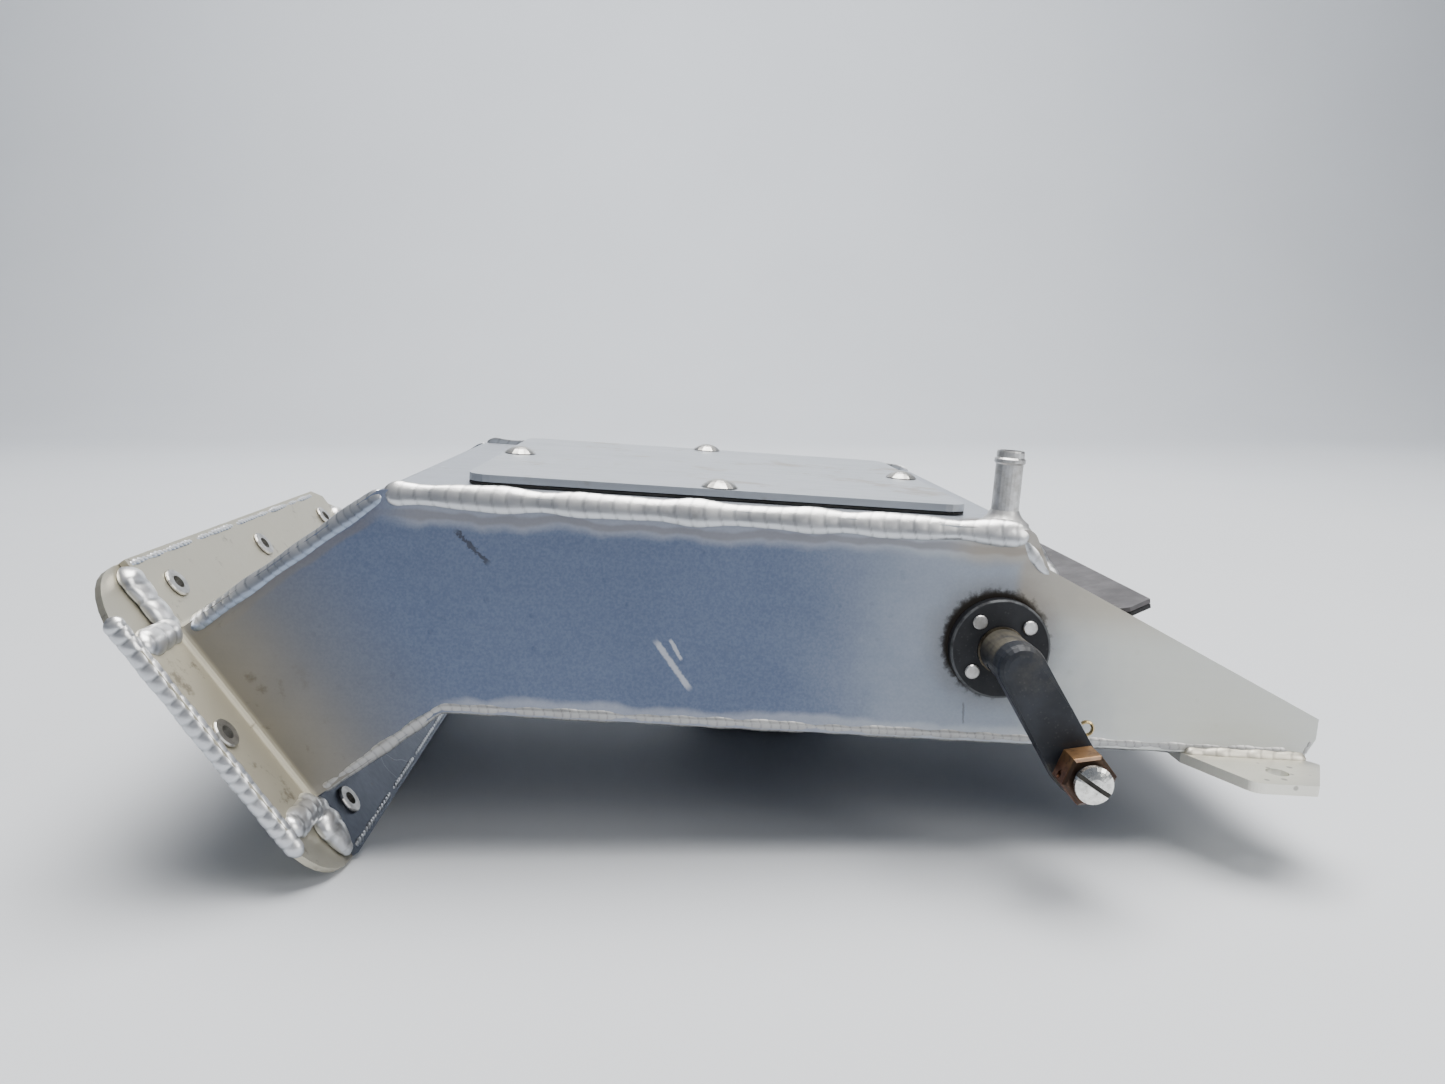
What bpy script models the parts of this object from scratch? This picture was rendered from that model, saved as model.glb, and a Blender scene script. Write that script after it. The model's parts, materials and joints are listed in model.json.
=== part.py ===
"""Welded aluminium induction air box with a lever-operated air door.

The duct frame has X along the box, Y across it and Z up through the lid, with its origin at the middle
of the straight box under the lid. The near side, with the lever, is -Y. The box stands on its inlet
flange and its outlet neck, so the duct frame hangs from the empty "stance", which is tilted until both
touch the ground. The air door turns about "door_axis" and the cable clamp about "clamp_axis".
"""

import math

import bmesh
import bpy
from mathutils import Matrix, Vector

# Clearances, metres
GAP = 0.0003  # between pieces that lie against each other
HOLE_PLAY = 0.0006  # extra diameter of a hole round what passes through it
DOOR_SIDE_PLAY = 0.0015  # between the air door and a side plate

# Box
SHEET = 0.002
BOX_WIDTH = 0.178
BOX_HEIGHT = 0.0624
TOP_BEND_X = -0.0945
TOP_END_X = 0.0885
TOP_BEND_RADIUS = 0.005
TOP_CORNER_RADIUS = 0.0035
LIP_RUN = 0.0055
LIP_DROP = 0.011
TIP_X = 0.1788
TIP_TOP_DROP = 0.0504  # from the top of the box down to the top of the tip
TIP_BOTTOM_X = 0.1757
TIP_EDGE = 0.0062

# Sloping inlet duct and its flange
INLET_SLOPE = math.radians(38.5)
INLET_LENGTH = 0.0696
INLET_HEIGHT = 0.0604
FOLD_RADIUS = 0.002
FLANGE_TOP = 0.0242
FLANGE_BOTTOM = 0.0206
FLANGE_SIDE = 0.0213
FRAME_THICKNESS = 0.002
FRAME_CORNER_RADIUS = 0.021
CLIP_ALONG = 0.032
CLIP_DOWN = 0.0145
FRAME_MOUTH_RADIUS = 0.003
INSERT_PITCH = 0.0712
INSERT_INSET = 0.012
INSERT_SIDE_INSET = 0.0150
INSERT_HEAD_RADIUS = 0.0045
INSERT_HEAD = 0.0008
INSERT_RADIUS = 0.0032
INSERT_BORE_RADIUS = 0.0021
INSERT_TAIL = 0.002

# Access lid on top
LID_LENGTH = 0.150
LID_WIDTH = 0.1524
LID_OFFSET_Y = 0.0092
LID_THICKNESS = 0.0022
LID_CORNER_RADIUS = 0.007
GASKET_THICKNESS = 0.0006
ACCESS_X = (-0.058, 0.034)
ACCESS_WIDTH = 0.118
ACCESS_RADIUS = 0.010
SCREW_INSET = 0.0059
SCREW_RADIUS = 0.0023
SCREW_LENGTH = 0.010
SCREW_HEAD_RADIUS = 0.0056
SCREW_HEAD = 0.0024
NUT_FLATS = 0.0095
NUT_HEIGHT = 0.0035

# Outlet neck below, hose nipple on top
NECK_X = 0.028
NECK_Y = 0.052
NECK_RADIUS = 0.03175
NECK_WALL = 0.0016
NECK_LENGTH = 0.0362
NECK_BEAD = 0.0014
NIPPLE_X = 0.0828
NIPPLE_Y = -0.077
NIPPLE_RADIUS = 0.00397
NIPPLE_WALL = 0.0009
NIPPLE_HEIGHT = 0.0213
NIPPLE_TAIL = 0.004
NIPPLE_BEAD = 0.0005

# Mounting tabs beside the tip
TAB_THICKNESS = 0.003
TAB_REACH = 0.0231
TAB_ROOT = 0.012
TAB_ROOT_X = (0.139, 0.1787)
TAB_EDGE_X = (0.150, 0.1678)
TAB_HOLE = (0.1611, 0.0131)
TAB_HOLE_RADIUS = 0.00318
TAB_CORNER_RADIUS = 0.004

# Door shaft and its bearings
SHAFT_X = 0.0813
SHAFT_Z = -0.0029
SHAFT_RADIUS = 0.00475
SHAFT_FLAT = 0.002  # height of the door's seat above the axis
BEARING_RIM = 0.0021  # from the rivet heads out to the edge of the disc
BEARING_DISC = 0.0034
BARREL_WALL = 0.00195
BARREL_INSIDE = 0.001
BEARING_RIVETS = 4
RIVET_PLAY = 0.0001  # from the shaft collar to the rivet heads beside it
RIVET_TURN = math.radians(41.7)
RIVET_RADIUS = 0.0016
RIVET_HEAD_RADIUS = 0.0021
RIVET_HEAD = 0.0006
WASHER_RIM = 0.00175  # from its bore out to its edge
WASHER_THICKNESS = 0.0007
COLLAR_WALL = 0.00295
COLLAR_WIDTH = 0.007
SHAFT_STUB = 0.003

# Air door
DOOR_REST = math.radians(11.5)
DOOR_LEAF = 0.049
DOOR_THICKNESS = 0.0013
SEAL_THICKNESS = 0.0012
DOOR_CLIP_ALONG = 0.0085
DOOR_CLIP_ACROSS = 0.0064
DOOR_SCREWS = 3
DOOR_SCREW_PITCH = 0.056
DOOR_SCREW_RADIUS = 0.0014
DOOR_SCREW_HEAD_RADIUS = 0.0028
DOOR_SCREW_HEAD = 0.0012

# Lever and cable clamp
LEVER_LENGTH = 0.0308
LEVER_TURN = math.radians(-56.6)  # from X at rest
LEVER_WIDTH = 0.0132
LEVER_THICKNESS = 0.007
LEVER_STANDOFF = 0.019  # from the side plate to the lever
LEVER_EDGE = 0.0006
LEVER_TAIL = 0.0016  # from the eye to the middle of the lever's round end
LEVER_ROUNDING = 0.0024
BOSS_WALL = 0.00135
BOSS_NECK = 0.0005
SET_SCREW_RADIUS = 0.00125
CLAMP_WASHER_RADIUS = 0.0056
CLAMP_WASHER = 0.0008
CLAMP_FLATS = 0.0127
CLAMP_LENGTH = 0.0094
CLAMP_CHAMFER = 0.0009
CLAMP_TURN = math.radians(11)
CABLE_RADIUS = 0.0011
CLAMP_BOLT_RADIUS = 0.0024
CLAMP_COLLAR_RADIUS = 0.0046
CLAMP_COLLAR = 0.0012
CLAMP_HEAD_RADIUS = 0.0051
CLAMP_HEAD = 0.0026
SLOT_WIDTH = 0.0012
SLOT_DEPTH = 0.0011
SLOT_TURN = math.radians(-31)
CLAMP_NUT_FLATS = 0.0079
CLAMP_NUT = 0.0035
COTTER_RADIUS = 0.0005
COTTER_EYE = 0.0019
COTTER_STEM = 0.0075
COTTER_TURN = math.radians(43)
COTTER_SWEEP = 2 * math.pi * 0.82  # how far round the eye goes
COTTER_STEPS = 14
BOLT_TAIL = 0.0026

STEPS = 32
SMALL_STEPS = 16

# Sizes and places worked out from the dimensions
SHAFT_BORE = SHAFT_RADIUS + HOLE_PLAY / 2
BARREL_RADIUS = SHAFT_BORE + BARREL_WALL
WASHER_RADIUS = SHAFT_BORE + WASHER_RIM
COLLAR_RADIUS = SHAFT_BORE + COLLAR_WALL
BOSS_RADIUS = SHAFT_BORE + BOSS_WALL
RIVET_CIRCLE = COLLAR_RADIUS + RIVET_PLAY + RIVET_HEAD_RADIUS
BEARING_RADIUS = RIVET_CIRCLE + RIVET_HEAD_RADIUS + BEARING_RIM
TOP_Z = BOX_HEIGHT / 2
BOTTOM_Z = -BOX_HEIGHT / 2
SIDE_Y = BOX_WIDTH / 2
INNER_Y = SIDE_Y - SHEET
TIP_TOP_Z = TOP_Z - TIP_TOP_DROP
DOWN_SLOPE = Vector((-math.cos(INLET_SLOPE), -math.sin(INLET_SLOPE)))
UP_FLANGE = Vector((-math.sin(INLET_SLOPE), math.cos(INLET_SLOPE)))
TOP_FOLD = Vector((TOP_BEND_X, TOP_Z)) + DOWN_SLOPE * INLET_LENGTH
BOTTOM_FOLD = TOP_FOLD - UP_FLANGE * INLET_HEIGHT
BOTTOM_BEND_X = BOTTOM_FOLD.x + (BOTTOM_Z - BOTTOM_FOLD.y) / math.tan(INLET_SLOPE)
FLANGE_TOP_V = INLET_HEIGHT / 2 + FLANGE_TOP
FLANGE_BOTTOM_V = -INLET_HEIGHT / 2 - FLANGE_BOTTOM
FLANGE_Y = SIDE_Y + FLANGE_SIDE
LID_BOTTOM_Z = TOP_Z + 2 * GAP + GASKET_THICKNESS
LID_TOP_Z = LID_BOTTOM_Z + LID_THICKNESS
LEVER_BACK_Y = -SIDE_Y - LEVER_STANDOFF
LEVER_FRONT_Y = LEVER_BACK_Y - LEVER_THICKNESS

# Matrices from a piece's own u, v, w to the duct frame
TO_SIDE = Matrix(((1, 0, 0, 0), (0, 0, -1, 0), (0, 1, 0, 0), (0, 0, 0, 1)))  # u = X, v = Z, w = -Y
FLANGE_CENTRE = (TOP_FOLD + BOTTOM_FOLD) / 2
TO_FLANGE = Matrix(
    (
        (0, UP_FLANGE.x, -DOWN_SLOPE.x, FLANGE_CENTRE.x),
        (1, 0, 0, 0),
        (0, UP_FLANGE.y, -DOWN_SLOPE.y, FLANGE_CENTRE.y),
        (0, 0, 0, 1),
    )
)  # u across the duct, v up the flange, w up the duct, from the flange's duct side


def material(name, colour, roughness, metallic):
    made = bpy.data.materials.new(name)
    made.use_nodes = True
    shader = made.node_tree.nodes["Principled BSDF"]
    shader.inputs["Base Color"].default_value = (*colour, 1)
    shader.inputs["Roughness"].default_value = roughness
    shader.inputs["Metallic"].default_value = metallic
    return made


def clear_scene():
    for obj in list(bpy.data.objects):
        bpy.data.objects.remove(obj, do_unlink=True)


def empty(name, parent=None, location=(0, 0, 0), turn_y=0.0):
    obj = bpy.data.objects.new(name, None)
    bpy.context.scene.collection.objects.link(obj)
    obj.parent = parent
    obj.location = location
    obj.rotation_euler = (0, turn_y, 0)
    return obj


def solid(name, bm, finish, parent):
    """An object from a closed bmesh, with its faces turned outwards and its round sides smooth."""
    bmesh.ops.remove_doubles(bm, verts=bm.verts, dist=1e-7)
    bmesh.ops.recalc_face_normals(bm, faces=bm.faces)
    mesh = bpy.data.meshes.new(name)
    bm.to_mesh(mesh)
    bm.free()
    mesh.shade_smooth()
    mesh.set_sharp_from_angle(angle=math.radians(35))
    obj = bpy.data.objects.new(name, mesh)
    bpy.context.scene.collection.objects.link(obj)
    obj.parent = parent
    if finish is None:
        obj.hide_render = True
        obj.display_type = "WIRE"
    else:
        mesh.materials.append(finish)
    return obj


def cut(obj, *cutters):
    for cutter in cutters:
        modifier = obj.modifiers.new(cutter.name, "BOOLEAN")
        modifier.operation = "DIFFERENCE"
        modifier.object = cutter
    return obj


def rounded(points, radii, closed=True, steps=5):
    """The polygon or path with each corner that has a radius made an arc of that radius."""
    points = [Vector(point) for point in points]
    made = []
    for i, (here, radius) in enumerate(zip(points, radii)):
        if not radius or (not closed and i in (0, len(points) - 1)):
            made.append(here)
            continue
        before = (points[i - 1] - here).normalized()
        after = (points[(i + 1) % len(points)] - here).normalized()
        half = before.angle(after) / 2
        centre = here + (before + after).normalized() * radius / math.sin(half)
        start = here + before * radius / math.tan(half) - centre
        turn = start.angle_signed(here + after * radius / math.tan(half) - centre)
        for step in range(steps + 1):
            made.append(centre + Matrix.Rotation(-turn * step / steps, 2) @ start)
    return made


def prism(outline, low, high, to_duct):
    """The outline in u and v, extruded in w from low to high."""
    bm = bmesh.new()
    face = bm.faces.new([bm.verts.new((u, v, low)) for u, v in outline])
    top = bmesh.ops.extrude_face_region(bm, geom=[face])["geom"]
    moved = [item for item in top if isinstance(item, bmesh.types.BMVert)]
    bmesh.ops.translate(bm, verts=moved, vec=(0, 0, high - low))
    bmesh.ops.transform(bm, matrix=to_duct, verts=bm.verts)
    return bm


def turned(profile, to_duct, steps=STEPS, turn=0.0):
    """The closed profile of (radius, height) points, turned about w. steps of 6 makes a hexagon."""
    bm = bmesh.new()
    rows = []
    for step in range(steps):
        angle = turn + 2 * math.pi * step / steps
        rows.append([bm.verts.new((r * math.cos(angle), r * math.sin(angle), h)) for r, h in profile])
    for step in range(steps):
        near, far = rows[step], rows[(step + 1) % steps]
        for i in range(len(profile)):
            j = (i + 1) % len(profile)
            if profile[i][0] or profile[j][0]:
                bm.faces.new((near[i], near[j], far[j], far[i]))
    bmesh.ops.remove_doubles(bm, verts=bm.verts, dist=1e-7)
    bmesh.ops.transform(bm, matrix=to_duct, verts=bm.verts)
    return bm


def rod(radius, low, high, to_duct, steps=SMALL_STEPS):
    return turned([(0, high), (radius, high), (radius, low), (0, low)], to_duct, steps)


def ring(outer, inner, low, high, to_duct, steps=STEPS):
    return turned([(outer, high), (outer, low), (inner, low), (inner, high)], to_duct, steps)


def dome(radius, height, base, steps=5):
    """Profile points of a low round head, from its middle out to its rim, on the plane at base."""
    ball = (radius**2 + height**2) / (2 * height)
    span = math.asin(radius / ball)
    angles = [span * step / steps for step in range(1, steps + 1)]
    return [(0, base + height)] + [
        (ball * math.sin(angle), base + height - ball * (1 - math.cos(angle))) for angle in angles
    ]


def along(origin, direction):
    """Matrix whose w runs along the direction from the origin."""
    turn = Vector(direction).to_track_quat("Z", "Y").to_matrix().to_4x4()
    return Matrix.Translation(origin) @ turn


def across_flats(flats):
    return flats / math.sqrt(3)


def side_outline():
    """Outline of a side plate in X and Z, from the flange fold round by the tip."""
    fold_back = -DOWN_SLOPE * FOLD_RADIUS
    points = [
        TOP_FOLD + fold_back,
        (TOP_BEND_X, TOP_Z),
        (TOP_END_X, TOP_Z),
        (TOP_END_X + LIP_RUN, TOP_Z - LIP_DROP),
        (TIP_X, TIP_TOP_Z),
        (TIP_X, TIP_TOP_Z - TIP_EDGE),
        (TIP_BOTTOM_X, BOTTOM_Z),
        (BOTTOM_BEND_X, BOTTOM_Z),
        BOTTOM_FOLD + fold_back,
    ]
    radii = [0, TOP_BEND_RADIUS, TOP_CORNER_RADIUS, 0, 0, 0, 0, TOP_BEND_RADIUS, 0]
    return rounded(points, radii)


def grow(bm, face, move):
    """Replaces the face by a moved copy of it, with sides that join the two, and returns the copy."""
    old = list(face.verts)
    new = [bm.verts.new(move @ vertex.co) for vertex in old]
    for i, vertex in enumerate(old):
        j = (i + 1) % len(old)
        bm.faces.new((vertex, old[j], new[j], new[i]))
    bm.faces.remove(face)
    return bm.faces.new(new)


def side_plate(name, side, finish, parent):
    """A flat plate whose inlet end is folded outwards into a strip of the flange."""
    bm = prism(side_outline(), -SHEET, 0, TO_SIDE)
    middle = TO_FLANGE @ Vector((0, 0, FOLD_RADIUS))
    sheet_middle = middle + Vector((0, SHEET / 2, 0))
    end = min(bm.faces, key=lambda face: (face.calc_center_median() - sheet_middle).length)
    centre = Matrix.Translation(middle + Vector((0, -FOLD_RADIUS, 0)))
    hinge = Vector((UP_FLANGE.x, 0, UP_FLANGE.y))
    bend = centre @ Matrix.Rotation(math.pi / 8, 4, hinge) @ centre.inverted()
    for _ in range(4):
        end = grow(bm, end, bend)
    grow(bm, end, Matrix.Translation((0, FOLD_RADIUS - FLANGE_SIDE, 0)))
    bmesh.ops.translate(bm, verts=bm.verts, vec=(0, -SIDE_Y, 0))
    if side > 0:
        bmesh.ops.transform(bm, matrix=Matrix.Scale(-1, 4, (0, 1, 0)), verts=bm.verts)
    return solid(name, bm, finish, parent)


def bent_sheet(name, path, radii, finish, parent):
    """A sheet across the box. The path is its outer face in X and Z, and its thickness lies to the right."""
    path = [Vector(point) for point in path]
    inner, inner_radii = [], []
    for i, here in enumerate(path):
        before = (here - path[i - 1]).normalized() if i else None
        after = (path[i + 1] - here).normalized() if i + 1 < len(path) else before
        before = before or after
        right = (Vector((before.y, -before.x)) + Vector((after.y, -after.x))).normalized()
        inner.append(here + right * SHEET / right.dot(Vector((after.y, -after.x))))
        turns_right = before.x * after.y - before.y * after.x < 0
        inner_radii.append(radii[i] and radii[i] + (-SHEET if turns_right else SHEET))
    outline = rounded(path, radii, closed=False) + rounded(inner, inner_radii, closed=False)[::-1]
    reach = INNER_Y - GAP
    return solid(name, prism(outline, -reach, reach, TO_SIDE), finish, parent)


def top_plate(finish, parent):
    points = [
        TOP_FOLD + UP_FLANGE * FLANGE_TOP,
        TOP_FOLD,
        (TOP_BEND_X, TOP_Z),
        (TOP_END_X, TOP_Z),
        (TOP_END_X + LIP_RUN, TOP_Z - LIP_DROP),
    ]
    radii = [0, FOLD_RADIUS, TOP_BEND_RADIUS, TOP_CORNER_RADIUS, 0]
    return bent_sheet("top_plate", points, radii, finish, parent)


def bottom_plate(finish, parent):
    points = [
        (TIP_BOTTOM_X - SHEET, BOTTOM_Z),
        (BOTTOM_BEND_X, BOTTOM_Z),
        BOTTOM_FOLD,
        BOTTOM_FOLD - UP_FLANGE * FLANGE_BOTTOM,
    ]
    return bent_sheet("bottom_plate", points, [0, TOP_BEND_RADIUS, FOLD_RADIUS, 0], finish, parent)


def flange_outline():
    points = [
        (-FLANGE_Y, FLANGE_BOTTOM_V),
        (FLANGE_Y - CLIP_ALONG, FLANGE_BOTTOM_V),
        (FLANGE_Y, FLANGE_BOTTOM_V + CLIP_DOWN),
        (FLANGE_Y, FLANGE_TOP_V - CLIP_DOWN),
        (FLANGE_Y - CLIP_ALONG, FLANGE_TOP_V),
        (-FLANGE_Y, FLANGE_TOP_V),
    ]
    corner = FRAME_CORNER_RADIUS
    return rounded(points, [corner, 0, 0, 0, 0, corner], steps=8)


def clip_cutters(parent):
    """Wedges that take the far corners off the folded strips, in line with the flange frame."""
    made = []
    for name, edge, sign in (("clip_top", FLANGE_TOP_V, 1), ("clip_bottom", FLANGE_BOTTOM_V, -1)):
        slope = Vector((CLIP_ALONG, -sign * CLIP_DOWN))
        start = Vector((FLANGE_Y - CLIP_ALONG, edge)) - slope
        end = start + 3 * slope
        away = Vector((0, sign * CLIP_ALONG))
        wedge = prism([start, end, end + away, start + away], -2 * SHEET, 2 * SHEET, TO_FLANGE)
        made.append(solid(name, wedge, None, parent))
    return made


def insert_places():
    """(name, u, v) of each threaded insert in the flange."""
    places = []
    for row, v in (("top", FLANGE_TOP_V - INSERT_INSET), ("bottom", FLANGE_BOTTOM_V + INSERT_INSET)):
        for i, u in enumerate((-INSERT_PITCH, 0, INSERT_PITCH)):
            places.append((f"flange_insert_{row}_{i + 1}", u, v))
    places.append(("flange_insert_near", -SIDE_Y - INSERT_SIDE_INSET, 0))
    places.append(("flange_insert_far", SIDE_Y + INSERT_SIDE_INSET, 0))
    return places


def flange_insert(name, u, v, finish, parent):
    back = -SHEET - GAP - FRAME_THICKNESS - INSERT_TAIL
    profile = [
        (INSERT_HEAD_RADIUS - 0.0003, GAP + INSERT_HEAD),
        (INSERT_HEAD_RADIUS, GAP + INSERT_HEAD / 2),
        (INSERT_HEAD_RADIUS, GAP),
        (INSERT_RADIUS, GAP),
        (INSERT_RADIUS, back),
        (INSERT_BORE_RADIUS, back),
        (INSERT_BORE_RADIUS, GAP + INSERT_HEAD),
    ]
    here = TO_FLANGE @ Matrix.Translation((u, v, 0))
    return solid(name, turned(profile, here, SMALL_STEPS), finish, parent)


def box_outline(x_low, x_high, y_low, y_high, radius):
    points = [(x_low, y_low), (x_high, y_low), (x_high, y_high), (x_low, y_high)]
    return rounded(points, [radius] * 4)


def access_outline():
    half = ACCESS_WIDTH / 2
    return box_outline(*ACCESS_X, LID_OFFSET_Y - half, LID_OFFSET_Y + half, ACCESS_RADIUS)


def lid_outline():
    x, y = LID_LENGTH / 2, LID_WIDTH / 2
    return box_outline(-x, x, LID_OFFSET_Y - y, LID_OFFSET_Y + y, LID_CORNER_RADIUS)


def screw_places():
    x, y = LID_LENGTH / 2 - SCREW_INSET, LID_WIDTH / 2 - SCREW_INSET
    return {
        "left": (-x, LID_OFFSET_Y),
        "right": (x, LID_OFFSET_Y),
        "near": (0, LID_OFFSET_Y - y),
        "far": (0, LID_OFFSET_Y + y),
    }


def lid_screw(side, x, y, finish, parent):
    base = LID_TOP_Z + GAP
    profile = dome(SCREW_HEAD_RADIUS, SCREW_HEAD, base)
    profile += [(SCREW_RADIUS, base), (SCREW_RADIUS, base - SCREW_LENGTH), (0, base - SCREW_LENGTH)]
    here = Matrix.Translation((x, y, 0))
    return solid(f"lid_screw_{side}", turned(profile, here, SMALL_STEPS), finish, parent)


def hex_nut(name, flats, bore, height, to_duct, finish, parent):
    """A hexagon with a round bore, cut through it."""
    body = solid(name, rod(across_flats(flats), 0, height, to_duct, 6), finish, parent)
    hole = solid(name + "_bore", rod(bore, -height, 2 * height, to_duct), None, parent)
    return cut(body, hole)


def lid_and_screws(finishes, parent, top):
    opening = prism(access_outline(), TOP_Z - 3 * SHEET, LID_BOTTOM_Z - GAP / 2, Matrix())
    access = solid("access_cutter", opening, None, parent)
    cut(top, access)
    rubber = prism(lid_outline(), TOP_Z + GAP, TOP_Z + GAP + GASKET_THICKNESS, Matrix())
    gasket = solid("lid_gasket", rubber, finishes["gasket"], parent)
    cut(gasket, access)
    lid = prism(lid_outline(), LID_BOTTOM_Z, LID_TOP_Z, Matrix())
    lid = solid("access_lid", lid, finishes["lid"], parent)
    for side, (x, y) in screw_places().items():
        here = Matrix.Translation((x, y, 0))
        bore = SCREW_RADIUS + HOLE_PLAY / 2
        hole = rod(bore, TOP_Z - 3 * SHEET, LID_TOP_Z + SHEET, here)
        hole = solid(f"screw_hole_{side}", hole, None, parent)
        for piece in (top, gasket, lid):
            cut(piece, hole)
        lid_screw(side, x, y, finishes["steel"], parent)
        below = here @ Matrix.Translation((0, 0, TOP_Z - SHEET - GAP - NUT_HEIGHT))
        hex_nut(f"lid_nut_{side}", NUT_FLATS, bore, NUT_HEIGHT, below, finishes["steel"], parent)


def outlet_neck(finishes, parent, bottom):
    """A thin tube with a hose bead near its lower rim."""
    here = Matrix.Translation((NECK_X, NECK_Y, 0))
    top = BOTTOM_Z - GAP
    low = top - NECK_LENGTH
    bead_at = low + NECK_LENGTH / 5
    bead = NECK_BEAD
    outer = [
        (NECK_RADIUS, top),
        (NECK_RADIUS, bead_at + 2 * bead),
        (NECK_RADIUS + bead, bead_at + bead / 2),
        (NECK_RADIUS + bead, bead_at - bead / 2),
        (NECK_RADIUS, bead_at - 2 * bead),
        (NECK_RADIUS, low),
    ]
    inner = [(r - NECK_WALL, h) for r, h in outer[::-1]]
    solid("outlet_neck", turned(outer + inner, here, STEPS), finishes["aluminium"], parent)
    hole = rod(NECK_RADIUS - NECK_WALL, BOTTOM_Z - SHEET, BOTTOM_Z + 2 * SHEET, here, STEPS)
    cut(bottom, solid("neck_hole", hole, None, parent))


def hose_nipple(finishes, parent, top):
    here = Matrix.Translation((NIPPLE_X, NIPPLE_Y, 0))
    high, low = TOP_Z + NIPPLE_HEIGHT, TOP_Z - NIPPLE_TAIL
    band = NIPPLE_RADIUS / 2
    bore = NIPPLE_RADIUS - NIPPLE_WALL
    profile = [
        (bore, high),
        (NIPPLE_RADIUS - NIPPLE_BEAD / 2, high),
        (NIPPLE_RADIUS, high - NIPPLE_BEAD),
        (NIPPLE_RADIUS, high - band),
        (NIPPLE_RADIUS + NIPPLE_BEAD, high - band - NIPPLE_BEAD),
        (NIPPLE_RADIUS + NIPPLE_BEAD, high - 2 * band + NIPPLE_BEAD),
        (NIPPLE_RADIUS, high - 2 * band),
        (NIPPLE_RADIUS, low),
        (bore, low),
    ]
    solid("hose_nipple", turned(profile, here, 24), finishes["aluminium"], parent)
    hole = rod(NIPPLE_RADIUS + HOLE_PLAY / 2, TOP_Z - 3 * SHEET, TOP_Z + SHEET, here, 24)
    cut(top, solid("nipple_hole", hole, None, parent))


def mounting_tab(name, side, finish, parent):
    """A flat ear welded under the bottom plate, with one bolt hole."""
    edge, root = SIDE_Y + TAB_REACH, SIDE_Y - TAB_ROOT
    points = [
        (TAB_ROOT_X[0], side * root),
        (TAB_ROOT_X[0], side * SIDE_Y),
        (TAB_EDGE_X[0], side * edge),
        (TAB_EDGE_X[1], side * edge),
        (TAB_ROOT_X[1], side * (SIDE_Y + TAB_CORNER_RADIUS)),
        (TAB_ROOT_X[1] - TAB_CORNER_RADIUS, side * SIDE_Y),
        (TAB_ROOT_X[1] - TAB_CORNER_RADIUS, side * root),
    ]
    radii = [0, 0, TAB_CORNER_RADIUS, 0.001, TAB_CORNER_RADIUS / 2, 0.001, 0]
    high = BOTTOM_Z - GAP
    tab = solid(name, prism(rounded(points, radii), high - TAB_THICKNESS, high, Matrix()), finish, parent)
    here = Matrix.Translation((TAB_HOLE[0], side * (SIDE_Y + TAB_HOLE[1]), 0))
    hole = rod(TAB_HOLE_RADIUS, high - 2 * TAB_THICKNESS, high + TAB_THICKNESS, here)
    return cut(tab, solid(name + "_hole", hole, None, parent))


def bearing(name, side, finishes, parent, plate):
    """A flanged bush, riveted to a side plate, with the shaft running in it."""
    here = along((SHAFT_X, side * SIDE_Y, SHAFT_Z), (0, side, 0))
    inside = -SHEET - BARREL_INSIDE
    face = GAP + BEARING_DISC
    profile = [
        (SHAFT_BORE, face),
        (BEARING_RADIUS - 0.0005, face),
        (BEARING_RADIUS, face - 0.0005),
        (BEARING_RADIUS, GAP),
        (BARREL_RADIUS, GAP),
        (BARREL_RADIUS, inside),
        (SHAFT_BORE, inside),
    ]
    bush = solid(f"{name}_bearing", turned(profile, here, 40), finishes["black"], parent)
    barrel = rod(BARREL_RADIUS + HOLE_PLAY / 2, -2 * SHEET, SHEET, here, STEPS)
    cut(plate, solid(f"{name}_barrel_hole", barrel, None, parent))
    for i in range(BEARING_RIVETS):
        angle = RIVET_TURN + 2 * math.pi * i / BEARING_RIVETS
        out = RIVET_CIRCLE * Vector((math.cos(angle), 0, math.sin(angle)))
        place = along(Vector((SHAFT_X, side * SIDE_Y, SHAFT_Z)) + out, (0, side, 0))
        head = face + GAP
        tail = -SHEET - GAP
        rivet = [
            (0, head + RIVET_HEAD),
            (RIVET_HEAD_RADIUS - 0.0003, head + RIVET_HEAD),
            (RIVET_HEAD_RADIUS, head + RIVET_HEAD / 2),
            (RIVET_HEAD_RADIUS, head),
            (RIVET_RADIUS, head),
            (RIVET_RADIUS, tail),
            (RIVET_HEAD_RADIUS, tail),
            (RIVET_HEAD_RADIUS, tail - RIVET_HEAD),
            (0, tail - RIVET_HEAD),
        ]
        solid(f"{name}_rivet_{i + 1}", turned(rivet, place, SMALL_STEPS), finishes["rivet"], parent)
        hole = rod(RIVET_RADIUS + HOLE_PLAY / 2, -2 * SHEET, 2 * face, place)
        hole = solid(f"{name}_rivet_hole_{i + 1}", hole, None, parent)
        cut(bush, hole)
        cut(plate, hole)


def door_outline():
    """The door in its own plane, with all four corners clipped to pass the welds in the box."""
    x, y = DOOR_LEAF, INNER_Y - DOOR_SIDE_PLAY
    cx, cy = x - DOOR_CLIP_ALONG, y - DOOR_CLIP_ACROSS
    return [(-x, -cy), (-cx, -y), (cx, -y), (x, -cy), (x, cy), (cx, y), (-cx, y), (-x, cy)]


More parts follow.
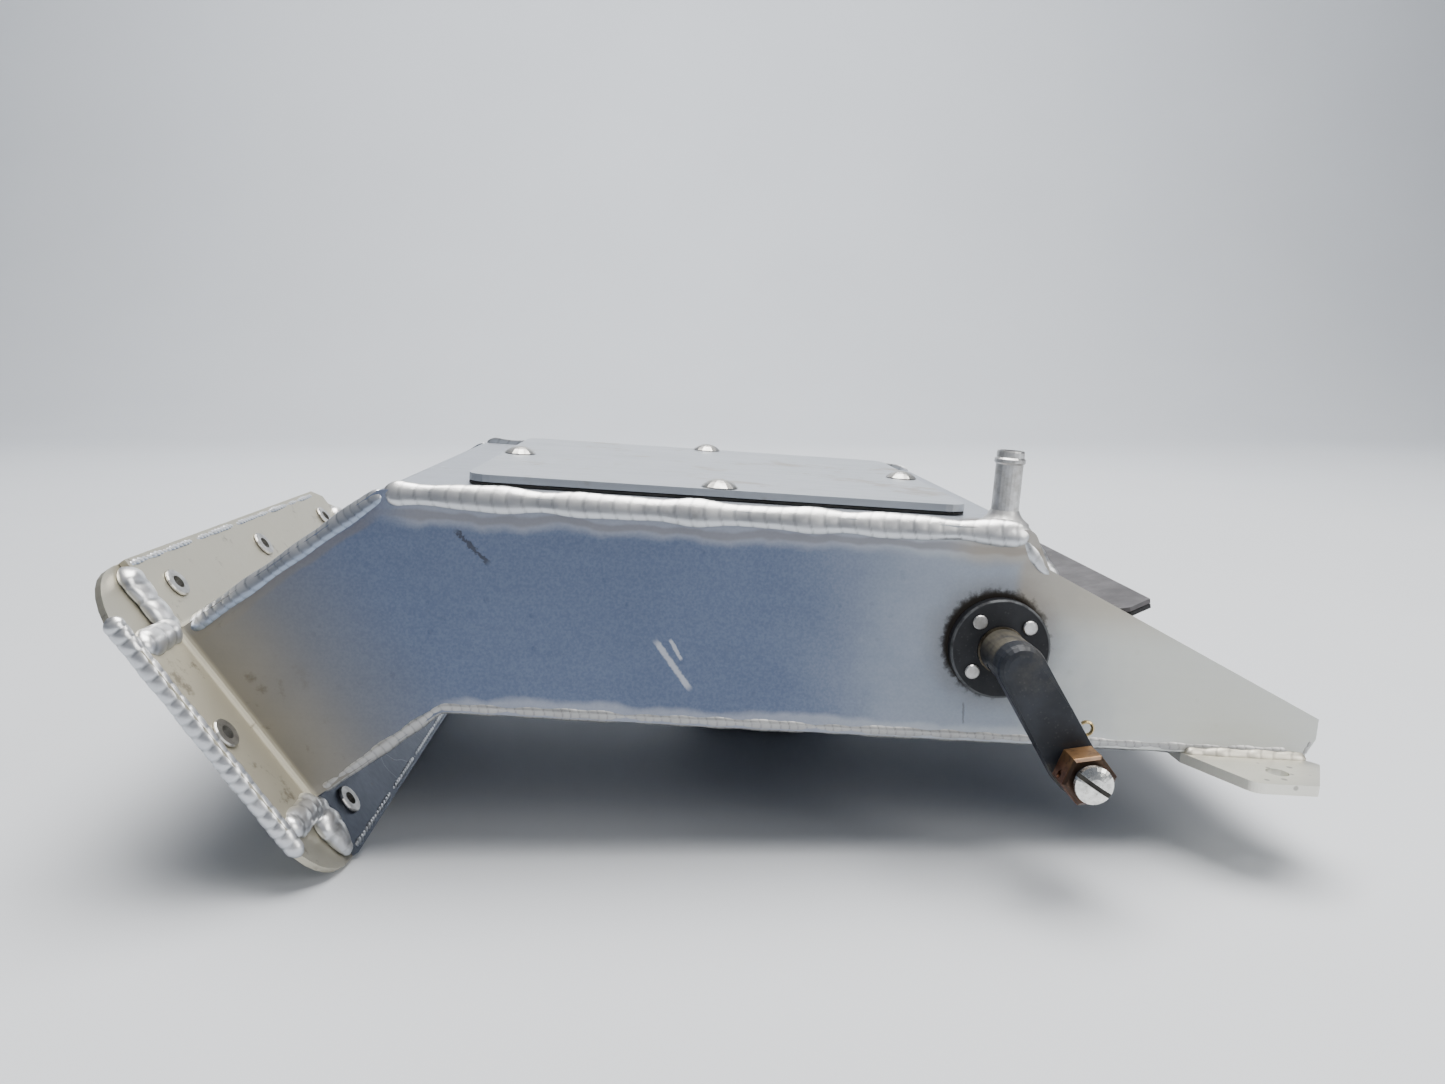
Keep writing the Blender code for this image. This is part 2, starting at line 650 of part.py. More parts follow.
def door_and_shaft(finishes, parent):
    """The shaft with a flat, and the seal and door plate screwed to the flat."""
    lever_end = -LEVER_FRONT_Y - LEVER_EDGE - GAP
    far_end = SIDE_Y + GAP + BEARING_DISC + GAP + COLLAR_WIDTH + SHAFT_STUB
    axis = along((0, 0, 0), (0, -1, 0))
    shaft = rod(SHAFT_RADIUS, -far_end, lever_end, axis, STEPS)
    shaft = solid("door_shaft", shaft, finishes["shaft"], parent)
    half = INNER_Y - (DOOR_SIDE_PLAY + BARREL_INSIDE) / 2
    above = box_outline(-2 * SHAFT_RADIUS, 2 * SHAFT_RADIUS, -half, half, 0)
    flat = prism(above, SHAFT_FLAT, 3 * SHAFT_RADIUS, Matrix())
    cut(shaft, solid("shaft_flat_cutter", flat, None, parent))
    seal_z = SHAFT_FLAT + GAP
    door_z = seal_z + SEAL_THICKNESS + GAP
    seal = prism(door_outline(), seal_z, seal_z + SEAL_THICKNESS, Matrix())
    seal = solid("door_seal", seal, finishes["rubber"], parent)
    door = prism(door_outline(), door_z, door_z + DOOR_THICKNESS, Matrix())
    door = solid("air_door", door, finishes["door"], parent)
    head = door_z + DOOR_THICKNESS + GAP
    tail = -SHAFT_RADIUS / 2
    for i in range(DOOR_SCREWS):
        here = Matrix.Translation((0, (i - (DOOR_SCREWS - 1) / 2) * DOOR_SCREW_PITCH, 0))
        profile = dome(DOOR_SCREW_HEAD_RADIUS, DOOR_SCREW_HEAD, head, 3)
        profile += [(DOOR_SCREW_RADIUS, head), (DOOR_SCREW_RADIUS, tail), (0, tail)]
        solid(f"door_screw_{i + 1}", turned(profile, here, 12), finishes["steel"], parent)
        hole = rod(DOOR_SCREW_RADIUS + HOLE_PLAY / 2, tail - GAP, head + SHEET, here, 12)
        hole = solid(f"door_screw_hole_{i + 1}", hole, None, parent)
        for piece in (door, seal, shaft):
            cut(piece, hole)
    washer_back = SIDE_Y + GAP + BEARING_DISC + GAP
    washer = ring(WASHER_RADIUS, SHAFT_BORE, washer_back, washer_back + WASHER_THICKNESS, axis)
    solid("thrust_washer", washer, finishes["steel"], parent)
    collar = ring(COLLAR_RADIUS, SHAFT_BORE, -washer_back - COLLAR_WIDTH, -washer_back, axis)
    collar = solid("shaft_collar", collar, finishes["black"], parent)
    middle = (0, washer_back + COLLAR_WIDTH / 2, 0)
    radial = along(middle, (0, 0, -1))
    hole = rod(SET_SCREW_RADIUS + HOLE_PLAY / 2, 0, 2 * COLLAR_RADIUS, radial, 12)
    cut(collar, solid("set_screw_hole", hole, None, parent))
    set_screw = rod(SET_SCREW_RADIUS, SHAFT_RADIUS + GAP, COLLAR_RADIUS - GAP, radial, 12)
    solid("collar_set_screw", set_screw, finishes["steel"], parent)


def lever_section(inset, height):
    """Outline of the lever at one height, drawn in by the inset round its hub."""
    half = LEVER_WIDTH / 2
    arc = [math.pi / 2 + math.pi * step / 12 for step in range(13)]
    hub = [((half - inset) * math.cos(angle), (half - inset) * math.sin(angle), height) for angle in arc]
    end = LEVER_LENGTH + LEVER_TAIL
    far = [(end - half * math.cos(angle), -half * math.sin(angle), height) for angle in arc]
    low = (end / 2, -half + inset / 8, height)
    high = (end / 2, half - inset / 8, height)
    return [*hub, low, *far, high]


def lever_arm(name, finish, parent):
    """A thick flat arm, round at both ends, whose front rounds over at the hub."""
    back, front = -LEVER_BACK_Y, -LEVER_FRONT_Y
    levels = [(0, back), (0, front - LEVER_ROUNDING)]
    levels += [
        (LEVER_ROUNDING * (1 - math.cos(angle)), front - LEVER_ROUNDING * (1 - math.sin(angle)))
        for angle in (math.radians(30), math.radians(60), math.radians(90))
    ]
    bm = bmesh.new()
    rows = [[bm.verts.new(point) for point in lever_section(inset, height)] for inset, height in levels]
    for below, above in zip(rows, rows[1:]):
        for i in range(len(below)):
            j = (i + 1) % len(below)
            bm.faces.new((below[i], below[j], above[j], above[i]))
    bm.faces.new(rows[0])
    bm.faces.new(rows[-1])
    bmesh.ops.transform(bm, matrix=TO_SIDE, verts=bm.verts)
    return solid(name, bm, finish, parent)


def lever(finishes, parent):
    """The lever with its long boss, clamped to the shaft by a set screw from below."""
    arm = lever_arm("control_lever", finishes["black"], parent)
    back = -LEVER_BACK_Y
    start = SIDE_Y + BEARING_DISC + WASHER_THICKNESS + 3 * GAP
    boss = [
        (0, back + SHEET),
        (BOSS_RADIUS - BOSS_NECK, back + SHEET),
        (BOSS_RADIUS - BOSS_NECK, back - BOSS_NECK),
        (BOSS_RADIUS, back - 2 * BOSS_NECK),
        (BOSS_RADIUS, start + BOSS_NECK),
        (BOSS_RADIUS - BOSS_NECK, start),
        (0, start),
    ]
    boss = solid("boss_joined", turned(boss, TO_SIDE, STEPS), None, parent)
    joined = arm.modifiers.new("boss", "BOOLEAN")
    joined.operation = "UNION"
    joined.object = boss
    hub = rod(SHAFT_BORE, start - SHEET, -LEVER_FRONT_Y - LEVER_EDGE, TO_SIDE, STEPS)
    eye = Matrix.Translation((LEVER_LENGTH, 0, 0)) @ TO_SIDE
    swivel = rod(CLAMP_BOLT_RADIUS + HOLE_PLAY / 2, back - SHEET, -LEVER_FRONT_Y + SHEET, eye, 24)
    radial = along((0, -(start + back) / 2, 0), (0, 0, -1))
    screw_hole = rod(SET_SCREW_RADIUS + HOLE_PLAY / 2, 0, 2 * BOSS_RADIUS, radial, 12)
    cutters = {"hub_bore": hub, "eye_bore": swivel, "lever_screw_hole": screw_hole}
    cut(arm, *(solid(name, bm, None, parent) for name, bm in cutters.items()))
    set_screw = rod(SET_SCREW_RADIUS, SHAFT_RADIUS + GAP, BOSS_RADIUS - GAP, radial, 12)
    solid("lever_set_screw", set_screw, finishes["steel"], parent)


def clamp_heights():
    """Distances along the clamp axis from the lever's front face: washer, hexagon, collar, head."""
    washer = GAP
    clamp = washer + CLAMP_WASHER + GAP
    collar = clamp + CLAMP_LENGTH + GAP
    head = collar + CLAMP_COLLAR + GAP
    return washer, clamp, collar, head


def cable_clamp(finishes, parent):
    """Washer, hexagonal clamp body, collar, slotted bolt, nut and cotter pin, turning in the lever's eye."""
    washer, clamp, collar, head = clamp_heights()
    out = along((0, LEVER_FRONT_Y, 0), (0, -1, 0))
    bore = CLAMP_BOLT_RADIUS + HOLE_PLAY / 2
    washer_ring = ring(CLAMP_WASHER_RADIUS, bore, washer, washer + CLAMP_WASHER, out, 24)
    solid("clamp_washer", washer_ring, finishes["black"], parent)

    corner = across_flats(CLAMP_FLATS)
    top = clamp + CLAMP_LENGTH
    profile = [
        (0, top),
        (corner - CLAMP_CHAMFER, top),
        (corner, top - CLAMP_CHAMFER),
        (corner, clamp + CLAMP_CHAMFER),
        (corner - CLAMP_CHAMFER, clamp),
        (0, clamp),
    ]
    body = solid("cable_clamp", turned(profile, out, 6, CLAMP_TURN), finishes["bronze"], parent)
    cut(body, solid("clamp_bore", rod(bore, clamp - SHEET, top + SHEET, out, STEPS), None, parent))
    cable = along((0, LEVER_FRONT_Y - clamp - CLAMP_LENGTH / 2, 0), (1, 0, 0))
    cable_hole = solid("cable_hole", rod(CABLE_RADIUS, -CLAMP_FLATS, CLAMP_FLATS, cable, 12), None, parent)
    cut(body, cable_hole)

    collar_ring = ring(CLAMP_COLLAR_RADIUS, bore, collar, collar + CLAMP_COLLAR, out, 24)
    solid("clamp_collar", collar_ring, finishes["black"], parent)

    nut_far = -LEVER_THICKNESS - GAP - CLAMP_NUT
    tail = nut_far - BOLT_TAIL
    rim = head + CLAMP_HEAD / 2
    profile = dome(CLAMP_HEAD_RADIUS, CLAMP_HEAD / 2, rim)
    profile += [(CLAMP_HEAD_RADIUS, head), (CLAMP_BOLT_RADIUS, head), (CLAMP_BOLT_RADIUS, tail), (0, tail)]
    bolt = solid("clamp_bolt", turned(profile, out, 24), finishes["plated"], parent)
    slot_box = box_outline(-2 * CLAMP_HEAD_RADIUS, 2 * CLAMP_HEAD_RADIUS, -SLOT_WIDTH / 2, SLOT_WIDTH / 2, 0)
    slot_at = Matrix.Translation((0, LEVER_FRONT_Y, 0)) @ TO_SIDE @ Matrix.Rotation(SLOT_TURN, 4, "Z")
    slot = prism(slot_box, head + CLAMP_HEAD - SLOT_DEPTH, head + 2 * CLAMP_HEAD, slot_at)
    cut(bolt, solid("slot_cutter", slot, None, parent), cable_hole)

    back = Matrix.Translation((0, LEVER_FRONT_Y, 0)) @ TO_SIDE @ Matrix.Translation((0, 0, nut_far))
    hex_nut("clamp_nut", CLAMP_NUT_FLATS, bore, CLAMP_NUT, back, finishes["steel"], parent)

    cotter_at = (0, LEVER_FRONT_Y - (nut_far + tail) / 2, 0)
    direction = Vector((math.cos(COTTER_TURN), 0, math.sin(COTTER_TURN)))
    reach = 2 * CLAMP_BOLT_RADIUS
    hole = rod(COTTER_RADIUS + HOLE_PLAY / 2, -reach, reach, along(cotter_at, direction), 12)
    cut(bolt, solid("cotter_hole", hole, None, parent))
    cotter_pin(cotter_at, direction, finishes["brass"], parent)


def cotter_pin(middle, direction, finish, parent):
    """Round wire: a straight stem through the bolt, ending in an open eye."""
    across = Vector((-direction.z, 0, direction.x))
    route = [Vector(middle) + direction * distance for distance in (-0.6 * COTTER_STEM, 0, COTTER_STEM)]
    centre = Vector(middle) + direction * (COTTER_STEM + COTTER_EYE) + across * 2 * COTTER_RADIUS
    for step in range(1, COTTER_STEPS):
        angle = math.pi + COTTER_SWEEP * step / COTTER_STEPS
        route.append(centre + COTTER_EYE * (direction * math.cos(angle) + across * math.sin(angle)))
    curve = bpy.data.curves.new("cotter_pin", "CURVE")
    curve.dimensions = "3D"
    curve.bevel_depth = COTTER_RADIUS
    curve.bevel_resolution = 1
    curve.use_fill_caps = True
    spline = curve.splines.new("POLY")
    spline.points.add(len(route) - 1)
    for point, place in zip(spline.points, route):
        point.co = (*place, 1)
    curve.materials.append(finish)
    obj = bpy.data.objects.new("cotter_pin", curve)
    bpy.context.scene.collection.objects.link(obj)
    obj.parent = parent


def inlet_flange(finishes, parent, sheets):
    """The flat frame in front of the folded strips, and the inserts that go through both."""
    back = -SHEET - GAP
    frame = prism(flange_outline(), back - FRAME_THICKNESS, back, TO_FLANGE)
    frame = solid("inlet_frame", frame, finishes["aluminium"], parent)
    mouth_v = INLET_HEIGHT / 2 - SHEET
    mouth = box_outline(-INNER_Y, INNER_Y, -mouth_v, mouth_v, FRAME_MOUTH_RADIUS)
    mouth = prism(mouth, -4 * SHEET, SHEET, TO_FLANGE)
    cut(frame, solid("mouth_cutter", mouth, None, parent))
    top_clip, bottom_clip = clip_cutters(parent)
    cut(sheets["top"], top_clip)
    cut(sheets["bottom"], bottom_clip)
    for name, u, v in insert_places():
        here = TO_FLANGE @ Matrix.Translation((u, v, 0))
        hole = rod(INSERT_RADIUS + HOLE_PLAY / 2, -4 * SHEET, SHEET, here)
        hole = solid(name + "_hole", hole, None, parent)
        strip = name.split("_")[2]
        cut(frame, hole)
        cut(sheets[strip], hole)
        flange_insert(name, u, v, finishes["steel"], parent)


def set_down(stance):
    """Tilts the stance until flange and neck touch the ground, and puts the underside's middle at zero."""
    foot = TO_FLANGE @ Vector((0, FLANGE_BOTTOM_V, -SHEET - GAP - FRAME_THICKNESS))
    rim = Vector((NECK_X + NECK_RADIUS, NECK_Y, BOTTOM_Z - GAP - NECK_LENGTH))
    stance.rotation_euler = (0, math.atan2(rim.z - foot.z, rim.x - foot.x), 0)
    bpy.context.view_layer.update()
    graph = bpy.context.evaluated_depsgraph_get()
    corners = []
    for obj in bpy.data.objects:
        if obj.type == "EMPTY" or obj.hide_render:
            continue
        shape = obj.evaluated_get(graph)
        mesh = shape.to_mesh()
        corners += [shape.matrix_world @ vertex.co for vertex in mesh.vertices]
        shape.to_mesh_clear()
    low = [min(corner[i] for corner in corners) for i in range(3)]
    high = [max(corner[i] for corner in corners) for i in range(3)]
    stance.location = (-(low[0] + high[0]) / 2, -(low[1] + high[1]) / 2, -low[2])


def main():
    clear_scene()
    finishes = {
        "aluminium": material("satin_aluminium", (0.60, 0.61, 0.62), 0.42, 0.9),
        "lid": material("lid_aluminium", (0.55, 0.56, 0.58), 0.38, 0.9),
        "gasket": material("gasket_rubber", (0.03, 0.03, 0.03), 0.8, 0.0),
        "steel": material("bright_steel", (0.62, 0.61, 0.58), 0.3, 1.0),
        "rivet": material("rivet_aluminium", (0.62, 0.63, 0.64), 0.4, 0.8),
        "black": material("black_oxide", (0.02, 0.02, 0.022), 0.45, 0.3),
        "shaft": material("shaft_steel", (0.22, 0.20, 0.17), 0.4, 0.8),
        "bronze": material("stained_bronze", (0.33, 0.16, 0.07), 0.5, 0.7),
        "plated": material("plated_steel", (0.72, 0.73, 0.74), 0.25, 1.0),
        "brass": material("brass_wire", (0.62, 0.52, 0.30), 0.35, 1.0),
        "door": material("door_steel", (0.17, 0.16, 0.15), 0.55, 0.4),
        "rubber": material("seal_rubber", (0.015, 0.015, 0.015), 0.7, 0.0),
    }
    stance = empty("stance")
    aluminium = finishes["aluminium"]
    sheets = {
        "near": side_plate("near_side_plate", -1, aluminium, stance),
        "far": side_plate("far_side_plate", 1, aluminium, stance),
        "top": top_plate(aluminium, stance),
        "bottom": bottom_plate(aluminium, stance),
    }
    inlet_flange(finishes, stance, sheets)
    lid_and_screws(finishes, stance, sheets["top"])
    outlet_neck(finishes, stance, sheets["bottom"])
    hose_nipple(finishes, stance, sheets["top"])
    mounting_tab("near_tab", -1, aluminium, stance)
    mounting_tab("far_tab", 1, aluminium, stance)
    bearing("near", -1, finishes, stance, sheets["near"])
    bearing("far", 1, finishes, stance, sheets["far"])

    door_axis = empty("door_axis", stance, (SHAFT_X, 0, SHAFT_Z), -DOOR_REST)
    door_and_shaft(finishes, door_axis)
    lever_axis = empty("lever_axis", door_axis, turn_y=DOOR_REST - LEVER_TURN)
    lever(finishes, lever_axis)
    clamp_axis = empty("clamp_axis", lever_axis, (LEVER_LENGTH, 0, 0), LEVER_TURN)
    cable_clamp(finishes, clamp_axis)
    set_down(stance)


main()
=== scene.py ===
"""Looks of the welded aluminium induction air box: finishes, weld beads, grime, floor, light and camera.

Places are given in the duct frame, metres: X along the box, Y across it from the middle, Z up through
the lid. to_world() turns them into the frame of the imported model, whose tilt and hinge it reads.
"""

import json
import math

import bmesh
import bpy
import numpy as np
from mathutils import Matrix, Vector


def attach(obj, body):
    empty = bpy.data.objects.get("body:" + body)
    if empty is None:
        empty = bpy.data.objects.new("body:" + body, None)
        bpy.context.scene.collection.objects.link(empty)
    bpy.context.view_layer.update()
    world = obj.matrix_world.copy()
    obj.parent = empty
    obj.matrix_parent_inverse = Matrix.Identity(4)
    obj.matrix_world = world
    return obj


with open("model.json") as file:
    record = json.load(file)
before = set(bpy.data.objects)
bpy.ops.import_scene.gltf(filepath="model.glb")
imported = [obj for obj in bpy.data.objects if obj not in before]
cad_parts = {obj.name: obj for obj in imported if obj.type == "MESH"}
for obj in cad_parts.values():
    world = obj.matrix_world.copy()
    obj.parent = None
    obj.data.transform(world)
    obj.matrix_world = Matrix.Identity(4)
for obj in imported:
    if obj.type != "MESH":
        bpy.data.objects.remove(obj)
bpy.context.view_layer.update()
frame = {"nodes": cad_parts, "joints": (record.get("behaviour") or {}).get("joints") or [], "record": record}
NODES = frame["nodes"]
MOUNTS = {mount["name"]: mount for mount in frame["record"]["mounts"]}
JOINTS = {joint["name"]: joint for joint in frame["joints"]}

# Duct frame, from the nipple's direction and the door's hinge
UP = Vector(MOUNTS["hose_nipple_end"]["axis"])
AHEAD = Vector((UP.z, 0, -UP.x))
HINGE_X, HINGE_Z = 0.0813, -0.0029
ORIGIN = Vector(JOINTS["door_hinge"]["pos_m"]) - AHEAD * HINGE_X - UP * HINGE_Z
TURN = np.array((AHEAD, (0, 1, 0), UP)).T

# Box
TOP_Z = 0.0312
BOTTOM_Z = -0.0312
SIDE_Y = 0.089
TOP_BEND_X = -0.0945
TOP_END_X = 0.0885
LIP = (0.094, 0.0202)
TIP_TOP = (0.1788, -0.0192)
TIP_LOW = (0.1788, -0.0254)
TIP_BOTTOM_X = 0.1757
SLOPE = math.radians(38.5)
INLET_LENGTH = 0.0696
INLET_HEIGHT = 0.0604
DOWN_SLOPE = np.array((-math.cos(SLOPE), -math.sin(SLOPE)))
UP_FLANGE = np.array((-math.sin(SLOPE), math.cos(SLOPE)))
TOP_FOLD = np.array((TOP_BEND_X, TOP_Z)) + DOWN_SLOPE * INLET_LENGTH
BOTTOM_FOLD = TOP_FOLD - UP_FLANGE * INLET_HEIGHT
BOTTOM_BEND_X = BOTTOM_FOLD[0] + (BOTTOM_Z - BOTTOM_FOLD[1]) / math.tan(SLOPE)
FLANGE_MIDDLE = (TOP_FOLD + BOTTOM_FOLD) / 2
FLANGE_TOP_V = INLET_HEIGHT / 2 + 0.0242
FLANGE_BOTTOM_V = -INLET_HEIGHT / 2 - 0.0206
FLANGE_Y = SIDE_Y + 0.0213
CLIP_ALONG = 0.032  # of the cut corners of the flange strips on the far side
CLIP_DOWN = 0.0145
NIPPLE = (0.0828, -0.077)
NIPPLE_RADIUS = 0.00397
BEARING_RADIUS = 0.0144
SLOT_TURN = math.radians(31)
NECK_X, NECK_Y = 0.028, 0.052
NECK_RADIUS = 0.03175
LEVER_REACH = 0.026  # from the near plate out to the lever's front face


# ---------------------------------------------------------------- places


def to_world(points):
    """Duct-frame points, rows of x, y, z, in the model's frame."""
    return np.asarray(points, float) @ TURN.T + np.array(ORIGIN)


def on_flange(u, v, w=0.0):
    """Duct-frame points at u across the duct, v up the flange and w up the duct from the flange strips."""
    u, v, w = np.broadcast_arrays(*(np.asarray(value, float) for value in (u, v, w)))
    x = FLANGE_MIDDLE[0] + v * UP_FLANGE[0] - w * DOWN_SLOPE[0]
    z = FLANGE_MIDDLE[1] + v * UP_FLANGE[1] - w * DOWN_SLOPE[1]
    return np.stack((x, u, z), axis=-1)


def unit(vectors):
    """The same directions with a length of one."""
    return vectors / np.maximum(np.linalg.norm(vectors, axis=-1, keepdims=True), 1e-12)


def corner_arc(before, corner, after, radius, steps=8):
    """Points of the arc of that radius between two straight runs of a flat path."""
    before, corner, after = (np.asarray(point, float) for point in (before, corner, after))
    a, b = unit(before - corner), unit(after - corner)
    half = math.acos(float(np.clip(a @ b, -1, 1))) / 2
    centre = corner + unit(a + b) * radius / math.sin(half)
    start = corner + a * radius / math.tan(half) - centre
    end = corner + b * radius / math.tan(half) - centre
    share = np.linspace(0, 1, steps)[:, None]
    return centre + unit(start * (1 - share) + end * share) * radius


def path_of(*runs):
    """Points and runs of points joined into one path."""
    return np.concatenate([np.atleast_2d(np.asarray(run, float)) for run in runs])


def resample(path, step):
    """The same path with points about one step apart, and the length up to each."""
    path = np.asarray(path, float)
    gaps = np.linalg.norm(np.diff(path, axis=0), axis=1)
    keep = np.concatenate(([True], gaps > 1e-9))
    path = path[keep]
    run = np.concatenate(([0], np.cumsum(np.linalg.norm(np.diff(path, axis=0), axis=1))))
    places = np.linspace(0, run[-1], max(2, int(round(run[-1] / step)) + 1))
    points = np.stack([np.interp(places, run, path[:, i]) for i in range(path.shape[1])], axis=1)
    return points, places


# ---------------------------------------------------------------- meshes


SHARP_ANGLE = math.radians(50)
BEAD_SIDES = 14
BEAD_SINK = 0.35  # share of a bead's height that lies below its path
SLOW_WAVES = (0.011, 0.017, 0.029, 0.05)
JITTER_WAVES = (0.013, 0.023)


def grid_faces(rows, columns, closed):
    """Four-sided faces of a grid of points numbered row by row.

    A closed grid joins its last column to its first.
    """
    row = np.arange(rows - 1)[:, None]
    column = np.arange(columns if closed else columns - 1)[None, :]
    following = (column + 1) % columns
    a = row * columns + column
    b = row * columns + following
    return np.stack((a, b, b + columns, a + columns), axis=-1).reshape(-1, 4).tolist()


def grid_piece(name, points, finish, body):
    """A piece from a grid of points: rows along it, closed columns round it, and a fan at each end.

    Its attribute "crest" is 1 all over.
    """
    rows, columns = points.shape[:2]
    verts = points.reshape(-1, 3)
    faces = grid_faces(rows, columns, True)
    first, final = len(verts), len(verts) + 1
    verts = np.concatenate((verts, np.stack((points[0].mean(0), points[-1].mean(0)))))
    column = np.arange(columns)
    following = (column + 1) % columns
    base = (rows - 1) * columns
    faces += np.stack((np.full(columns, first), following, column), axis=1).tolist()
    faces += np.stack((np.full(columns, final), base + column, base + following), axis=1).tolist()
    mesh = bpy.data.meshes.new(name)
    mesh.from_pydata(to_world(verts).tolist(), [], faces)
    mesh.update()
    crest = np.ones(len(verts), np.float32)
    mesh.attributes.new("crest", "FLOAT", "POINT").data.foreach_set("value", crest)
    return finished(name, mesh, finish, body)


def finished(name, mesh, finish, body):
    """The mesh as a smooth piece with its faces outwards, riding on its body."""
    bm = bmesh.new()
    bm.from_mesh(mesh)
    bmesh.ops.recalc_face_normals(bm, faces=bm.faces)
    bm.to_mesh(mesh)
    bm.free()
    mesh.shade_smooth()
    mesh.set_sharp_from_angle(angle=SHARP_ANGLE)
    obj = bpy.data.objects.new(name, mesh)
    bpy.context.scene.collection.objects.link(obj)
    mesh.materials.append(finish)
    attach(obj, body)
    return obj


def waves(draws, run, lengths):
    """A sum of sine waves along a run, of the given wavelengths, with seeded heights and starts."""
    return sum(
        draws.normal() * np.sin(run * 2 * math.pi / length + draws.uniform(0, 7))
        for length in lengths
    )


def bead(name, path, out, finish, seed, width, height, pitch, ripple, lean=0.35, wander=0.0, fade=0.0):
    """A weld bead along a path of duct-frame points.

    The section is an ellipse of the given width, its height along out. Both swell once for each ripple
    pitch, with sharp valleys: the ripples are the absolute sine of the run over the pitch, and they lean
    back across the bead by lean pitches. Slow seeded waves of size wander make it uneven, and both ends
    taper over the length fade. The attribute "crest" is 1 on a ripple's back and 0 in its valleys.
    """
    points, run = resample(path, pitch / 8)
    draws = np.random.default_rng(seed)
    tangent = unit(np.gradient(points, axis=0))
    out = np.asarray(out, float)
    out = np.broadcast_to(out, points.shape) if out.ndim == 1 else resample_like(out, path, run)
    normal = unit(out - np.sum(out * tangent, axis=1, keepdims=True) * tangent)
    across = np.cross(tangent, normal)
    angle = np.linspace(0, 2 * math.pi, BEAD_SIDES, endpoint=False)
    slow = waves(draws, run, SLOW_WAVES)
    jitter = waves(draws, run, JITTER_WAVES)
    phase = run[:, None] / pitch + 0.16 * jitter[:, None] - lean * np.abs(np.cos(angle))[None, :] ** 1.5
    scallop = np.abs(np.sin(math.pi * phase)) ** 0.6
    rise = ripple * (scallop - 0.6)
    swell = 1 + wander * slow[:, None]
    ends = np.clip(np.minimum(run, run[-1] - run) / (fade or width / 2), 0, 1)[:, None]
    taper = np.sqrt(np.clip(ends * (2 - ends), 0.02, 1))
    half = width / 2 * swell * (1 + 0.35 * rise) * taper
    tall = height * (1 + rise) * swell * taper
    shape = np.sin(angle)[None, :]
    up = np.where(shape > 0, shape * (1 - BEAD_SINK), shape * BEAD_SINK) * tall
    side = np.cos(angle)[None, :] * half
    grid = points[:, None, :] + across[:, None, :] * side[..., None] + normal[:, None, :] * up[..., None]
    made = grid_piece(name, grid, finish, "housing")
    crest = np.ones(len(made.data.vertices), np.float32)
    crest[: scallop.size] = scallop.reshape(-1)
    made.data.attributes["crest"].data.foreach_set("value", crest)


def resample_like(values, path, run):
    """Directions given at each point of a path, at the places of its resampled run."""
    path = np.asarray(path, float)
    gaps = np.linalg.norm(np.diff(path, axis=0), axis=1)
    keep = np.concatenate(([True], gaps > 1e-9))
    path, values = path[keep], values[keep]
    total = np.concatenate(([0], np.cumsum(np.linalg.norm(np.diff(path, axis=0), axis=1))))
    return np.stack([np.interp(run, total, values[:, i]) for i in range(3)], axis=1)


# ---------------------------------------------------------------- node helpers


